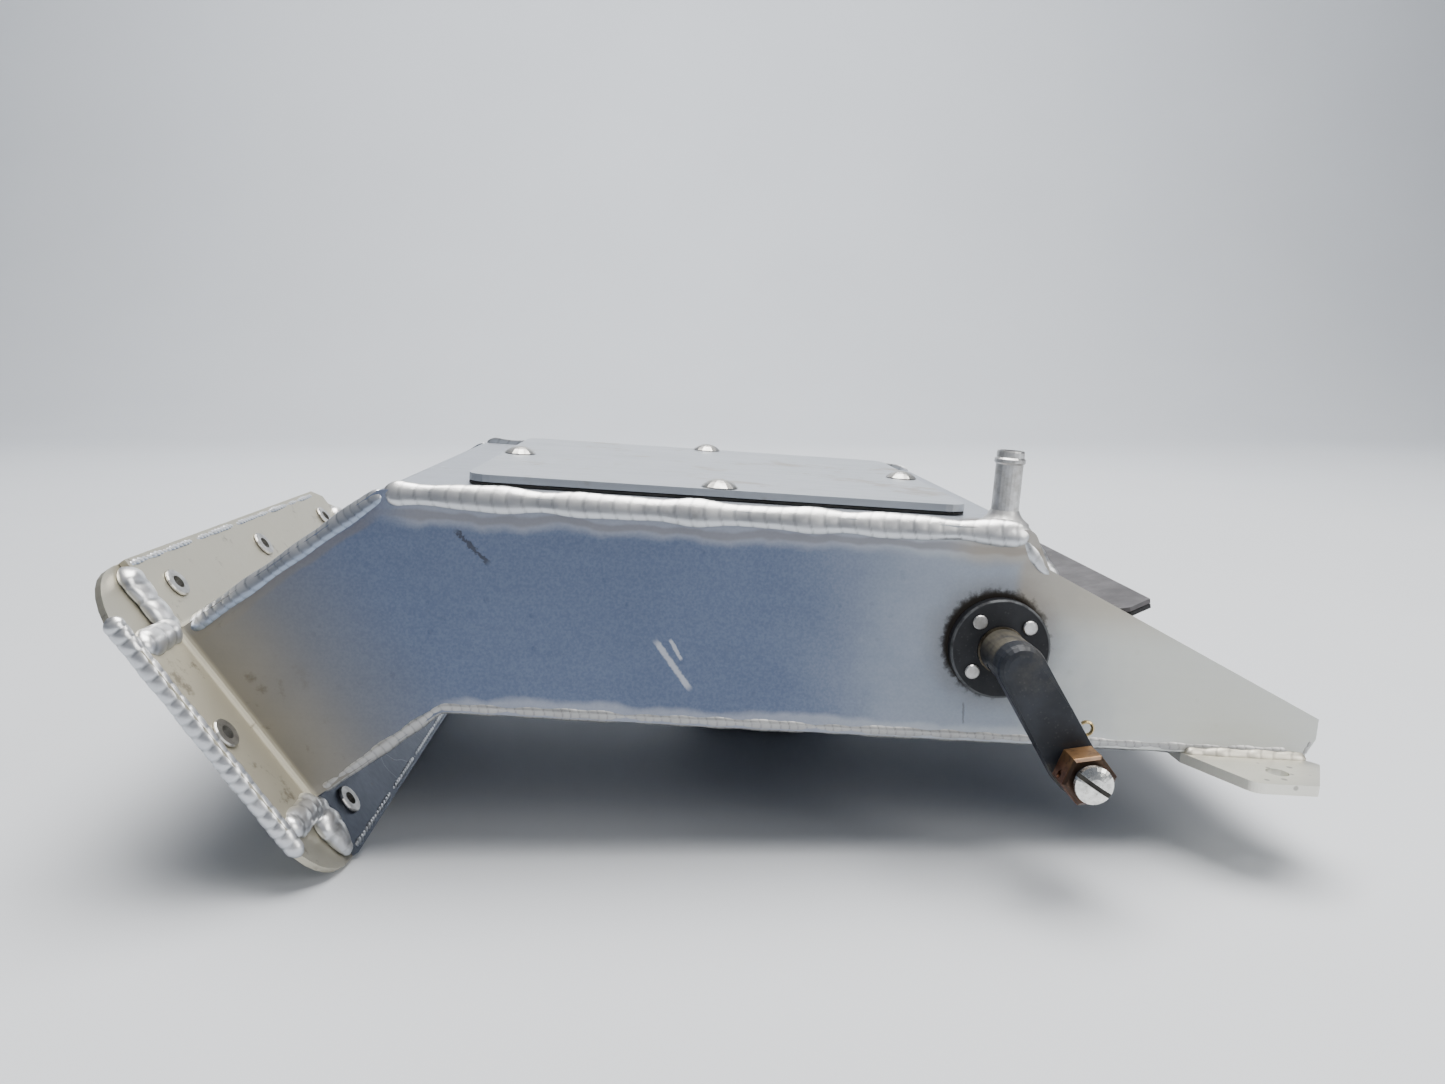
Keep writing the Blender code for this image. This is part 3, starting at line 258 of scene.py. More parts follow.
class Finish:
    """A material under construction, with short ways to add nodes and links."""

    def __init__(self, name, tree=None):
        if tree is None:
            self.material = bpy.data.materials.new(name)
            self.material.use_nodes = True
            self.tree = self.material.node_tree
            self.shader = self.tree.nodes["Principled BSDF"]
            self.coords = self.tree.nodes.new("ShaderNodeTexCoord").outputs["Object"]
        else:
            self.tree = tree

    def feed(self, socket, value):
        if isinstance(value, bpy.types.NodeSocket):
            self.tree.links.new(value, socket)
        elif isinstance(value, (tuple, list)) and len(value) == 3 and socket.type == "RGBA":
            socket.default_value = (*value, 1)
        else:
            socket.default_value = value

    def place(self, coords, centre=(0, 0, 0), turn=(0, 0, 0), scale=(1, 1, 1)):
        node = self.tree.nodes.new("ShaderNodeMapping")
        node.vector_type = "TEXTURE"
        self.feed(node.inputs["Vector"], coords)
        node.inputs["Location"].default_value = centre
        node.inputs["Rotation"].default_value = turn
        node.inputs["Scale"].default_value = scale
        return node.outputs["Vector"]

    def noise(self, coords, scale, detail=3.0, roughness=0.55, warp=0.0):
        node = self.tree.nodes.new("ShaderNodeTexNoise")
        self.feed(node.inputs["Vector"], coords)
        self.feed(node.inputs["Scale"], scale)
        node.inputs["Detail"].default_value = detail
        node.inputs["Roughness"].default_value = roughness
        node.inputs["Distortion"].default_value = warp
        return node.outputs["Fac"]

    def cells(self, coords, scale):
        node = self.tree.nodes.new("ShaderNodeTexVoronoi")
        self.feed(node.inputs["Vector"], coords)
        self.feed(node.inputs["Scale"], scale)
        return node.outputs["Distance"]

    def ramp(self, value, low, high, out_low=0.0, out_high=1.0):
        node = self.tree.nodes.new("ShaderNodeMapRange")
        node.interpolation_type = "SMOOTHSTEP"
        self.feed(node.inputs["Value"], value)
        self.feed(node.inputs["From Min"], low)
        self.feed(node.inputs["From Max"], high)
        self.feed(node.inputs["To Min"], out_low)
        self.feed(node.inputs["To Max"], out_high)
        return node.outputs["Result"]

    def math(self, operation, a, b=0.0):
        node = self.tree.nodes.new("ShaderNodeMath")
        node.operation = operation
        self.feed(node.inputs[0], a)
        self.feed(node.inputs[1], b)
        return node.outputs[0]

    def times(self, a, b):
        return self.math("MULTIPLY", a, b)

    def mix(self, share, a, b):
        node = self.tree.nodes.new("ShaderNodeMix")
        node.data_type = "RGBA"
        self.feed(node.inputs[0], share)
        self.feed(node.inputs[6], a)
        self.feed(node.inputs[7], b)
        return node.outputs[2]

    def split(self, coords):
        node = self.tree.nodes.new("ShaderNodeSeparateXYZ")
        self.feed(node.inputs[0], coords)
        return node.outputs

    def length(self, coords):
        node = self.tree.nodes.new("ShaderNodeVectorMath")
        node.operation = "LENGTH"
        self.feed(node.inputs[0], coords)
        return node.outputs["Value"]

    def bump(self, height, strength, distance):
        node = self.tree.nodes.new("ShaderNodeBump")
        node.inputs["Strength"].default_value = strength
        node.inputs["Distance"].default_value = distance
        self.feed(node.inputs["Height"], height)
        self.feed(self.shader.inputs["Normal"], node.outputs["Normal"])

    def group(self, group, **values):
        node = self.tree.nodes.new("ShaderNodeGroup")
        node.node_tree = group
        for name, value in values.items():
            self.feed(node.inputs[name.replace("_", " ")], value)
        return node.outputs

    def surface(self, colour, roughness, metallic):
        self.feed(self.shader.inputs["Base Color"], colour)
        self.feed(self.shader.inputs["Roughness"], roughness)
        self.feed(self.shader.inputs["Metallic"], metallic)
        return self.material


def effect(name, inputs, outputs, build):
    """A shared shader node group. build gets the inputs by name and returns a socket for each output."""
    tree = bpy.data.node_groups.new(name, "ShaderNodeTree")
    for label, kind, value in inputs:
        made = tree.interface.new_socket(name=label, in_out="INPUT", socket_type=kind)
        if value is not None:
            made.default_value = value
    for label, kind in outputs:
        tree.interface.new_socket(name=label, in_out="OUTPUT", socket_type=kind)
    entry = tree.nodes.new("NodeGroupInput")
    leave = tree.nodes.new("NodeGroupOutput")
    work = Finish(name, tree)
    results = build(work, {label: entry.outputs[label] for label, _, _ in inputs})
    for label, _ in outputs:
        tree.links.new(results[label], leave.inputs[label])
    return tree


FLOAT, VECTOR = "NodeSocketFloat", "NodeSocketVector"


# ---------------------------------------------------------------- shared effects


def build_speckle(work, given):
    """Small round dots on a cell pattern. Only the cells whose own noise is high hold a dot."""
    cell = work.cells(given["Coords"], given["Scale"])
    dot = work.ramp(cell, given["Size"], work.times(given["Size"], 0.6))
    lottery = work.noise(given["Coords"], work.times(given["Scale"], 0.31), 1.0)
    chosen = work.ramp(lottery, given["Rarity"], work.math("ADD", given["Rarity"], 0.03))
    return {"Mask": work.times(dot, chosen)}


def build_grain(work, given):
    """Rolled sheet: fine streaks along the first axis, over a slow cloudy mottle."""
    streaks = work.noise(work.place(given["Coords"], scale=(0.05, 0.002, 0.002)), 1.0, 4.0, 0.6)
    cloud = work.noise(given["Coords"], given["Cloud Scale"], 4.0, 0.6, 0.4)
    fine = work.noise(given["Coords"], 1800.0, 2.0)
    tone = work.math("ADD", work.times(work.math("SUBTRACT", streaks, 0.5), given["Streaks"]),
                     work.times(work.math("SUBTRACT", cloud, 0.5), given["Clouds"]))
    height = work.math("ADD", work.times(streaks, 0.5), work.times(fine, 0.6))
    return {"Tone": work.math("ADD", tone, 0.5), "Height": height}


def build_ring(work, given):
    """A ragged ring of dirt: full at the inner radius, gone at the outer one, which wanders."""
    distance = work.length(given["Coords"])
    ragged = work.noise(given["Coords"], given["Raggedness"], 4.0, 0.65)
    far = work.math("ADD", given["Outer"], work.times(work.math("SUBTRACT", ragged, 0.5), given["Wander"]))
    return {"Mask": work.ramp(distance, far, given["Inner"])}


def build_scratches(work, given):
    """Sparse thin scratches: narrow level lines of a stretched noise, thinned by a slow one."""
    lines = work.noise(given["Coords"], given["Scale"], 1.0, 0.5, 0.6)
    near_level = work.math("ABSOLUTE", work.math("SUBTRACT", lines, 0.5))
    thin = work.ramp(near_level, given["Width"], 0.0)
    some = work.ramp(work.noise(given["Coords"], work.times(given["Scale"], 0.45), 1.0), 0.55, 0.62)
    return {"Mask": work.times(thin, some)}


SPECKLE = effect(
    "speckle",
    [("Coords", VECTOR, None), ("Scale", FLOAT, 300.0), ("Size", FLOAT, 0.2), ("Rarity", FLOAT, 0.6)],
    [("Mask", FLOAT)],
    build_speckle,
)
GRAIN = effect(
    "rolled grain",
    [("Coords", VECTOR, None), ("Cloud Scale", FLOAT, 30.0), ("Streaks", FLOAT, 0.3), ("Clouds", FLOAT, 0.4)],
    [("Tone", FLOAT), ("Height", FLOAT)],
    build_grain,
)
DIRT_RING = effect(
    "dirt ring",
    [("Coords", VECTOR, None), ("Inner", FLOAT, 0.01), ("Outer", FLOAT, 0.015), ("Wander", FLOAT, 0.004),
     ("Raggedness", FLOAT, 260.0)],
    [("Mask", FLOAT)],
    build_ring,
)
SCRATCHES = effect(
    "fine scratches",
    [("Coords", VECTOR, None), ("Scale", FLOAT, 60.0), ("Width", FLOAT, 0.006)],
    [("Mask", FLOAT)],
    build_scratches,
)

TILT = math.atan2(UP.x, UP.z)  # of the duct, about Y


def duct_coords(work, centre=(0.0, 0.0, 0.0)):
    """Object coordinates turned into the duct frame, and moved to a centre there."""
    here = Vector(to_world([centre])[0])
    return work.place(work.coords, tuple(here), (0, TILT, 0))


def band(work, value, low, high, soft):
    """1 between low and high, falling to 0 over soft on both sides."""
    return work.times(work.ramp(value, low - soft, low), work.ramp(value, high + soft, high))


def streak(work, start, end, width, ragged=0.0):
    """A mask along a short line on a plate, between two duct-frame points (x, z)."""
    dx, dz = end[0] - start[0], end[1] - start[1]
    long = math.hypot(dx, dz)
    middle = ((start[0] + end[0]) / 2, -SIDE_Y, (start[1] + end[1]) / 2)
    here = Vector(to_world([middle])[0])
    turned = work.place(work.coords, tuple(here), (0, TILT - math.atan2(dz, dx), 0))
    parts = work.split(turned)
    across = parts["Z"]
    if ragged:
        waver = work.math("SUBTRACT", work.noise(turned, 900.0, 3.0), 0.5)
        across = work.math("ADD", across, work.times(waver, ragged))
    body = work.times(
        work.ramp(work.math("ABSOLUTE", parts["X"]), long / 2, long / 2 * 0.7),
        work.ramp(work.math("ABSOLUTE", across), width / 2, width / 5),
    )
    return work.times(body, work.ramp(work.math("ABSOLUTE", parts["Y"]), 0.004, 0.003))


# ---------------------------------------------------------------- finishes

BARE = (0.50, 0.53, 0.58)
BARE_DARK = (0.36, 0.385, 0.43)
FROST = (0.66, 0.67, 0.69)
TAN = (0.42, 0.36, 0.27)
GRIME = (0.035, 0.026, 0.018)
HALO = (0.20, 0.165, 0.11)
HEAT_LINE = (0.20, 0.19, 0.20)
SEAM_SHADE = (0.22, 0.20, 0.19)
# Painted reflection tones of the near plate: blue, grey and pale
REFLECTION_BLUE = (0.085, 0.120, 0.215)
REFLECTION_GREY = (0.30, 0.34, 0.405)
REFLECTION_PALE = (0.66, 0.67, 0.62)
PLATE_HAZE = (0.60, 0.64, 0.70)
PLATE_WARM = (0.215, 0.205, 0.18)
SHEET_METALLIC = 0.92
VALLEY_SHADE = 0.45  # how dark a weld's valleys are beside its dark tone


def bare_sheet(name, dark=BARE_DARK, light=BARE, extra=None, rough=(0.36, 0.50)):
    """Satin rolled aluminium with mottling, fine streaks, specks and small scratches."""
    work = Finish(name)
    duct = duct_coords(work)
    grain = work.group(GRAIN, Coords=duct, Cloud_Scale=22.0, Streaks=0.5, Clouds=0.9)
    specks = work.group(SPECKLE, Coords=duct, Scale=230.0, Size=0.24, Rarity=0.60)["Mask"]
    apart = work.place(duct, (0.3, 0.2, 0.1))
    pale = work.group(SPECKLE, Coords=apart, Scale=170.0, Size=0.16, Rarity=0.60)["Mask"]
    scuffs = work.group(SCRATCHES, Coords=duct, Scale=40.0, Width=0.005)["Mask"]
    colour = work.mix(grain["Tone"], dark, light)
    colour = work.mix(work.times(specks, 0.55), colour, (0.12, 0.11, 0.10))
    colour = work.mix(work.times(pale, 0.5), colour, (0.80, 0.81, 0.83))
    colour = work.mix(work.times(scuffs, 0.35), colour, (0.75, 0.76, 0.78))
    roughness = work.ramp(grain["Tone"], 0.1, 0.9, rough[1], rough[0])
    if extra:
        colour, roughness = extra(work, duct, colour, roughness)
    work.bump(grain["Height"], 0.10, 0.0002)
    return work.surface(colour, roughness, SHEET_METALLIC)


def up_duct(work, duct):
    """How far a point lies up the sloping duct from the flange."""
    parts = work.split(duct)
    along = work.math("ADD", work.times(parts["X"], math.cos(SLOPE)), work.times(parts["Z"], math.sin(SLOPE)))
    mouth = FLANGE_MIDDLE[0] * math.cos(SLOPE) + FLANGE_MIDDLE[1] * math.sin(SLOPE)
    return work.math("SUBTRACT", along, mouth)


def plate_reflection_and_haze(work, duct, colour):
    """Painted reflection: blue-grey in the left and middle, paler towards the door, with a fine haze."""
    tone = work.math("SUBTRACT", work.noise(duct, 24.0, 4.0, 0.6), 0.5)
    place = work.math("ADD", work.split(duct)["X"], work.times(tone, 0.05))
    # Painted reflection of the bluish surroundings and the light, blue-grey to pale along the plate
    lit_and_worn_tone = work.mix(work.ramp(place, 0.015, 0.075), REFLECTION_BLUE, REFLECTION_GREY)
    lit_and_worn_tone = work.mix(work.ramp(place, 0.080, 0.125), lit_and_worn_tone, REFLECTION_PALE)
    colour = work.mix(0.88, colour, lit_and_worn_tone)
    haze = work.ramp(work.noise(duct, 1500.0, 2.0), 0.30, 0.70)
    return work.mix(work.times(haze, 0.07), colour, PLATE_HAZE)


def seam_tints(work, duct, colour):
    """Frosted bands, heat lines and tan tints beside the plate's welds, with a line of painted shade beside
    the sloping one, all with wavy edges.
    """
    parts = work.split(duct)
    x, z = parts["X"], parts["Z"]
    wave = work.times(work.math("SUBTRACT", work.noise(duct, 70.0, 2.0), 0.5), 0.006)
    level = work.math("ADD", z, wave)
    # Frosted band under the top weld, and the heat line in it
    straight = work.ramp(x, TOP_BEND_X - 0.006, TOP_BEND_X + 0.012)
    frost = work.times(work.ramp(level, TOP_Z - 0.0105, TOP_Z - 0.007), straight)
    colour = work.mix(work.times(frost, 0.35), colour, FROST)
    line = work.times(band(work, level, TOP_Z - 0.0068, TOP_Z - 0.0058, 0.0012), straight)
    colour = work.mix(work.times(line, 0.55), colour, HEAT_LINE)
    # Shaded line beside the sloping weld
    slant = work.math("ADD", work.times(x, math.sin(SLOPE)), work.times(z, -math.cos(SLOPE)))
    seam_line = TOP_FOLD[0] * math.sin(SLOPE) - TOP_FOLD[1] * math.cos(SLOPE)
    beside = work.math("ADD", work.math("SUBTRACT", slant, seam_line), wave)
    sloping = work.ramp(x, TOP_BEND_X + 0.004, TOP_BEND_X - 0.006)
    shade = work.times(band(work, beside, 0.0040, 0.0052, 0.0014), sloping)
    colour = work.mix(work.times(shade, 0.5), colour, SEAM_SHADE)
    # Tan heat tint round the corner by the door
    above = work.times(work.ramp(x, 0.062, 0.075), work.ramp(level, TOP_Z - 0.012, TOP_Z - 0.007))
    beyond = work.times(work.ramp(x, 0.0835, 0.0875), work.ramp(z, -0.002, 0.012))
    colour = work.mix(work.times(work.math("MAXIMUM", above, beyond), 0.55), colour, TAN)
    # Faint frosted band over the underside weld
    low = work.ramp(work.math("SUBTRACT", z, wave), BOTTOM_Z + 0.0055, BOTTOM_Z + 0.003)
    level_part = work.ramp(x, BOTTOM_BEND_X - 0.004, BOTTOM_BEND_X + 0.008)
    return work.mix(work.times(work.times(low, level_part), 0.35), colour, FROST)


def hub_dirt(work, colour, roughness):
    """Dirt round the bearing disc, thickest above and to the left of it, in a faint brown halo."""
    hub = duct_coords(work, (HINGE_X - 0.0008, -SIDE_Y, HINGE_Z + 0.0010))
    ring = work.group(DIRT_RING, Coords=hub, Inner=BEARING_RADIUS - 0.0004, Outer=BEARING_RADIUS + 0.0022,
                      Wander=0.0085, Raggedness=420.0)["Mask"]
    halo = work.group(DIRT_RING, Coords=hub, Inner=BEARING_RADIUS, Outer=BEARING_RADIUS + 0.0085,
                      Wander=0.012, Raggedness=140.0)["Mask"]
    colour = work.mix(work.times(halo, 0.30), colour, HALO)
    colour = work.mix(work.times(ring, 0.93), colour, GRIME)
    return colour, work.math("ADD", roughness, work.times(ring, 0.3))


def single_marks(work, colour):
    """The gouge, the two pale smears and the short dark mark."""
    gouge = streak(work, (-0.0740, 0.0216), (-0.0634, 0.0117), 0.0016, 0.0034)
    colour = work.mix(work.times(gouge, 0.72), colour, (0.055, 0.055, 0.06))
    long_smear = streak(work, (-0.0170, -0.0062), (-0.0052, -0.0214), 0.0022, 0.001)
    short_smear = streak(work, (-0.0125, -0.0060), (-0.0085, -0.0125), 0.0014, 0.001)
    smear = work.math("MAXIMUM", long_smear, short_smear)
    colour = work.mix(work.times(smear, 0.55), colour, (0.74, 0.75, 0.77))
    mark = streak(work, (0.0732, -0.0196), (0.0738, -0.0268), 0.0008, 0.0008)
    return work.mix(work.times(mark, 0.5), colour, (0.12, 0.12, 0.13))


def flange_marks(work, duct, colour, roughness):
    """Yellowish handled patches and brown stains towards the inlet, and paler flange strips."""
    way = up_duct(work, duct)
    patch = work.ramp(work.noise(duct, 45.0, 3.0), 0.25, 0.75, 0.7, 1.0)
    toward = work.ramp(way, 0.030, 0.003)
    colour = work.mix(work.times(work.times(toward, patch), 0.66), colour, (0.34, 0.315, 0.26))
    strip = work.ramp(way, 0.0030, 0.0012)
    colour = work.mix(work.times(strip, 0.78), colour, (0.62, 0.58, 0.46))
    stain = work.ramp(work.noise(work.place(duct, (0.1, 0.3, 0.2)), 120.0, 4.0, 0.7), 0.58, 0.72)
    colour = work.mix(work.times(work.times(toward, stain), 0.55), colour, (0.13, 0.10, 0.07))
    return colour, roughness


def near_marks(work, duct, colour, roughness):
    """The near plate: painted reflection tones, weld tints with a line of painted shade, warm grey towards
    the inlet, dirt, marks and patches.
    """
    colour = plate_reflection_and_haze(work, duct, colour)
    colour = seam_tints(work, duct, colour)
    warm = work.ramp(up_duct(work, duct), 0.058, 0.012)
    colour = work.mix(work.times(warm, 0.70), colour, PLATE_WARM)
    colour, roughness = hub_dirt(work, colour, roughness)
    colour = single_marks(work, colour)
    return flange_marks(work, duct, colour, roughness)


def top_marks(work, duct, colour, roughness):
    """The brown stain round the hose nipple, and the flange's patches."""
    foot = duct_coords(work, (NIPPLE[0] - 0.003, NIPPLE[1], TOP_Z))
    stain = work.group(DIRT_RING, Coords=foot, Inner=0.004, Outer=0.0125, Wander=0.010,
                       Raggedness=200.0)["Mask"]
    colour = work.mix(work.times(stain, 0.75), colour, (0.16, 0.10, 0.05))
    return flange_marks(work, duct, colour, roughness)


def weld_finish(name, crest, shade_and_mottle_tone, rough=0.28):
    """Weld metal: its crest colour on faces turned up as a painted highlight, its second tone on faces turned
    down and in the grooves as painted shade, and sooty spots.
    """
    work = Finish(name)
    duct = duct_coords(work)
    cloud = work.noise(duct, 160.0, 3.0, 0.6)
    soot = work.ramp(work.noise(duct, 95.0, 3.0, 0.7), 0.60, 0.74)
    ripple = work.tree.nodes.new("ShaderNodeAttribute")
    ripple.attribute_name = "crest"
    facing = work.split(work.tree.nodes.new("ShaderNodeNewGeometry").outputs["Normal"])["Z"]
    # Painted highlight and shade: the crest colour on faces turned up, the dark tone on faces turned down
    colour = work.mix(work.ramp(facing, -0.15, 0.65), shade_and_mottle_tone, crest)
    colour = work.mix(work.ramp(cloud, 0.3, 0.7, 0.0, 0.25), colour, shade_and_mottle_tone)
    # Painted shade in the grooves between ripples
    groove_shade = work.ramp(ripple.outputs["Fac"], 0.70, 0.20, 0.0, 0.50)
    colour = work.mix(groove_shade, colour, tuple(value * VALLEY_SHADE for value in shade_and_mottle_tone))
    colour = work.mix(work.times(soot, 0.35), colour, (0.20, 0.18, 0.16))
    work.bump(work.noise(duct, 900.0, 2.0), 0.12, 0.0002)
    return work.surface(colour, work.ramp(cloud, 0.3, 0.7, rough + 0.12, rough), 0.9)


def lid_finish():
    """Cleaner sheet than the box's, with brownish stains and fine scratches."""
    work = Finish("lid sheet")
    duct = duct_coords(work)
    grain = work.group(GRAIN, Coords=duct, Cloud_Scale=26.0, Streaks=0.7, Clouds=1.0)
    colour = work.mix(grain["Tone"], (0.40, 0.425, 0.46), (0.60, 0.63, 0.67))
    stain = work.ramp(work.noise(work.place(duct, (0.4, 0.1, 0.2)), 38.0, 4.0, 0.7), 0.54, 0.68)
    colour = work.mix(work.times(stain, 0.5), colour, (0.30, 0.24, 0.16))
    scuffs = work.group(SCRATCHES, Coords=duct, Scale=55.0, Width=0.006)["Mask"]
    colour = work.mix(work.times(scuffs, 0.4), colour, (0.66, 0.66, 0.66))
    work.bump(grain["Height"], 0.10, 0.0002)
    return work.surface(colour, work.ramp(grain["Tone"], 0.1, 0.9, 0.50, 0.36), SHEET_METALLIC)


def black_finish(name, base=(0.014, 0.015, 0.018), lit_and_worn_tone=(0.10, 0.095, 0.085), wear_and_highlight=None, rough=0.42):
    """Satin black oxide: faint cloudy grey, tiny pits, and paler patches where a given mask says, for rubbing
    and for painted highlights.
    """
    work = Finish(name)
    duct = duct_coords(work)
    cloud = work.noise(duct, 110.0, 4.0, 0.65)
    pits = work.group(SPECKLE, Coords=duct, Scale=900.0, Size=0.3, Rarity=0.5)["Mask"]
    colour = work.mix(work.ramp(cloud, 0.3, 0.75), base, tuple(value * 1.5 for value in base))
    colour = work.mix(work.times(pits, 0.4), colour, (0.05, 0.05, 0.052))
    if wear_and_highlight:
        # Paler patches: rubbing and painted highlight
        colour = work.mix(wear_and_highlight(work, duct), colour, lit_and_worn_tone)
    work.bump(work.noise(duct, 700.0, 3.0), 0.18, 0.0002)
    return work.surface(colour, work.ramp(cloud, 0.3, 0.7, rough + 0.12, rough), 0.35)


def plain_metal(name, low, high, rough):
    """Turned or plated metal with a little cloudiness and fine marks."""
    work = Finish(name)
    duct = duct_coords(work)
    cloud = work.noise(duct, 300.0, 4.0, 0.65)
    colour = work.mix(work.ramp(cloud, 0.3, 0.7), low, high)
    scuffs = work.group(SCRATCHES, Coords=duct, Scale=260.0, Width=0.01)["Mask"]
    colour = work.mix(work.times(scuffs, 0.35), colour, tuple(value * 0.45 for value in low))
    work.bump(work.noise(duct, 1500.0, 2.0), 0.08, 0.0001)
    return work.surface(colour, work.ramp(cloud, 0.3, 0.7, rough + 0.1, rough), 1.0)


# ---------------------------------------------------------------- finishes put on the model's nodes


def give(finish, *names):
    """Puts a finish on the model's nodes of those names."""
    for name in names:
        for holder in NODES[name].material_slots:
            holder.material = finish


SWIVEL = Vector(JOINTS["clamp_swivel"]["pos_m"]) - ORIGIN
LEVER_END = (SWIVEL.dot(AHEAD), SWIVEL.dot(UP))  # middle of the clamp's bolt, x and z in the duct frame
LEVER_FRONT_Y = -SIDE_Y - LEVER_REACH


def lever_wear_and_highlight(work, duct):
    """Olive-brown on the top of the boss, the top half of the arm's front face and round its end: rubbing
    together with a painted highlight where its rounded edges face the light above.
    """
    near_top = work.length(duct_coords(work, (HINGE_X + 0.004, LEVER_FRONT_Y + 0.002, HINGE_Z + 0.001)))
    patch = work.ramp(near_top, 0.012, 0.004)
    ragged = work.ramp(work.noise(duct, 190.0, 4.0, 0.7), 0.38, 0.66)
    near_low = work.length(duct_coords(work, (LEVER_END[0] - 0.005, LEVER_FRONT_Y, LEVER_END[1] - 0.004)))
    rim = work.times(work.ramp(near_low, 0.0065, 0.003), ragged)
    parts = work.split(duct)
    behind = work.ramp(parts["Y"], LEVER_FRONT_Y + 0.0062, LEVER_FRONT_Y + 0.0085)
    boss = work.times(work.times(behind, work.ramp(parts["Z"], HINGE_Z - 0.002, HINGE_Z + 0.005)), 0.75)
    # Rubbing and painted highlight on the hub top and round the arm's end
    rubbing_and_highlight = work.math("MAXIMUM", work.times(work.times(patch, ragged), 0.14), work.times(rim, 0.5))
    return work.math("MAXIMUM", rubbing_and_highlight, work.times(boss, work.ramp(work.noise(duct, 240.0, 3.0), 0.2, 0.6)))


def disc_rim_highlight(work, duct):
    """A thin painted highlight along the disc's front rim, where light catches its edge."""
    hub = duct_coords(work, (HINGE_X, -SIDE_Y - 0.0037, HINGE_Z))
    parts = work.split(hub)
    distance = work.length(hub)
    rim = band(work, distance, BEARING_RADIUS - 0.0006, BEARING_RADIUS + 0.0004, 0.0002)
    front = work.ramp(parts["Y"], 0.0009, 0.0003)
    ragged = work.ramp(work.noise(duct, 240.0, 3.0), 0.3, 0.6)
    return work.times(work.times(rim, front), ragged)


CLAMP_FACE = -0.0109  # from the lever's front face out to the hexagon's own


def clamp_finish():
    """Bronze hexagon: ochre as a painted highlight on its top, red-brown below, painted shade on its front
    face, with dark stains.
    """
    work = Finish("stained bronze with painted light")
    duct = duct_coords(work, (LEVER_END[0], LEVER_FRONT_Y, LEVER_END[1]))
    parts = work.split(duct)
    cloud = work.noise(duct, 260.0, 4.0, 0.7)
    colour = work.mix(work.ramp(cloud, 0.3, 0.7), (0.085, 0.034, 0.020), (0.22, 0.098, 0.052))
    # Painted highlight: ochre on the top, where the light from above falls
    lit_top = work.ramp(parts["Z"], 0.001, 0.0055)
    colour = work.mix(work.times(lit_top, 0.8), colour, (0.30, 0.175, 0.08))
    # Painted shade: the front face, turned from the light, made near black
    face = work.ramp(parts["Y"], CLAMP_FACE + 0.0012, CLAMP_FACE + 0.0006)
    colour = work.mix(work.times(face, 0.85), colour, (0.045, 0.034, 0.028))
    stain = work.ramp(work.noise(duct, 420.0, 4.0, 0.7), 0.5, 0.66)
    colour = work.mix(work.times(stain, 0.6), colour, (0.06, 0.03, 0.018))
    work.bump(work.noise(duct, 1200.0, 3.0), 0.12, 0.0001)
    return work.surface(colour, work.ramp(cloud, 0.3, 0.7, 0.46, 0.30), 0.85)


def bolt_finish():
    """Bright plate, painted dark along the screwdriver slot, with dirt round the rim."""
    work = Finish("slotted head plate")
    duct = duct_coords(work, (LEVER_END[0], LEVER_FRONT_Y, LEVER_END[1]))
    here = Vector(to_world([(LEVER_END[0], LEVER_FRONT_Y, LEVER_END[1])])[0])
    turned = work.split(work.place(work.coords, tuple(here), (0, TILT + SLOT_TURN, 0)))
    cloud = work.noise(duct, 420.0, 4.0, 0.65)
    colour = work.mix(work.ramp(cloud, 0.3, 0.7), (0.55, 0.55, 0.53), (0.86, 0.86, 0.82))
    # Darker along the screwdriver slot
    slot = work.ramp(work.math("ABSOLUTE", turned["Z"]), 0.00066, 0.00056)
    colour = work.mix(work.times(slot, 0.93), colour, (0.025, 0.022, 0.018))
    stain = work.ramp(work.noise(duct, 700.0, 4.0, 0.7), 0.56, 0.7)
    colour = work.mix(work.times(stain, 0.5), colour, (0.20, 0.18, 0.13))
    work.bump(work.noise(duct, 1600.0, 2.0), 0.08, 0.0001)
    roughness = work.math("ADD", work.ramp(cloud, 0.3, 0.7, 0.30, 0.18), work.times(slot, 0.4))
    return work.surface(colour, roughness, 1.0)


def door_finish(name, base, light, rough):
    """Dark satin paint, cloudy, with specks of dust."""
    work = Finish(name)
    duct = duct_coords(work)
    cloud = work.noise(duct, 60.0, 4.0, 0.65)
    colour = work.mix(work.ramp(cloud, 0.3, 0.7), base, light)
    dust = work.group(SPECKLE, Coords=duct, Scale=420.0, Size=0.22, Rarity=0.55)["Mask"]
    colour = work.mix(work.times(dust, 0.4), colour, (0.26, 0.24, 0.22))
    work.bump(work.noise(duct, 600.0, 3.0), 0.15, 0.0002)
    return work.surface(colour, work.ramp(cloud, 0.3, 0.7, rough + 0.1, rough), 0.25)


def rubber_finish(name, base):
    """Matt black rubber, a little cloudy."""
    work = Finish(name)
    duct = duct_coords(work)
    cloud = work.noise(duct, 130.0, 4.0, 0.6)
    colour = work.mix(work.ramp(cloud, 0.35, 0.7), base, tuple(value * 2.2 + 0.004 for value in base))
    work.bump(work.noise(duct, 900.0, 3.0), 0.2, 0.0002)
    return work.surface(colour, work.ramp(cloud, 0.3, 0.7, 0.86, 0.7), 0.0)


SHEET_BARE = bare_sheet("bare sheet", extra=flange_marks)
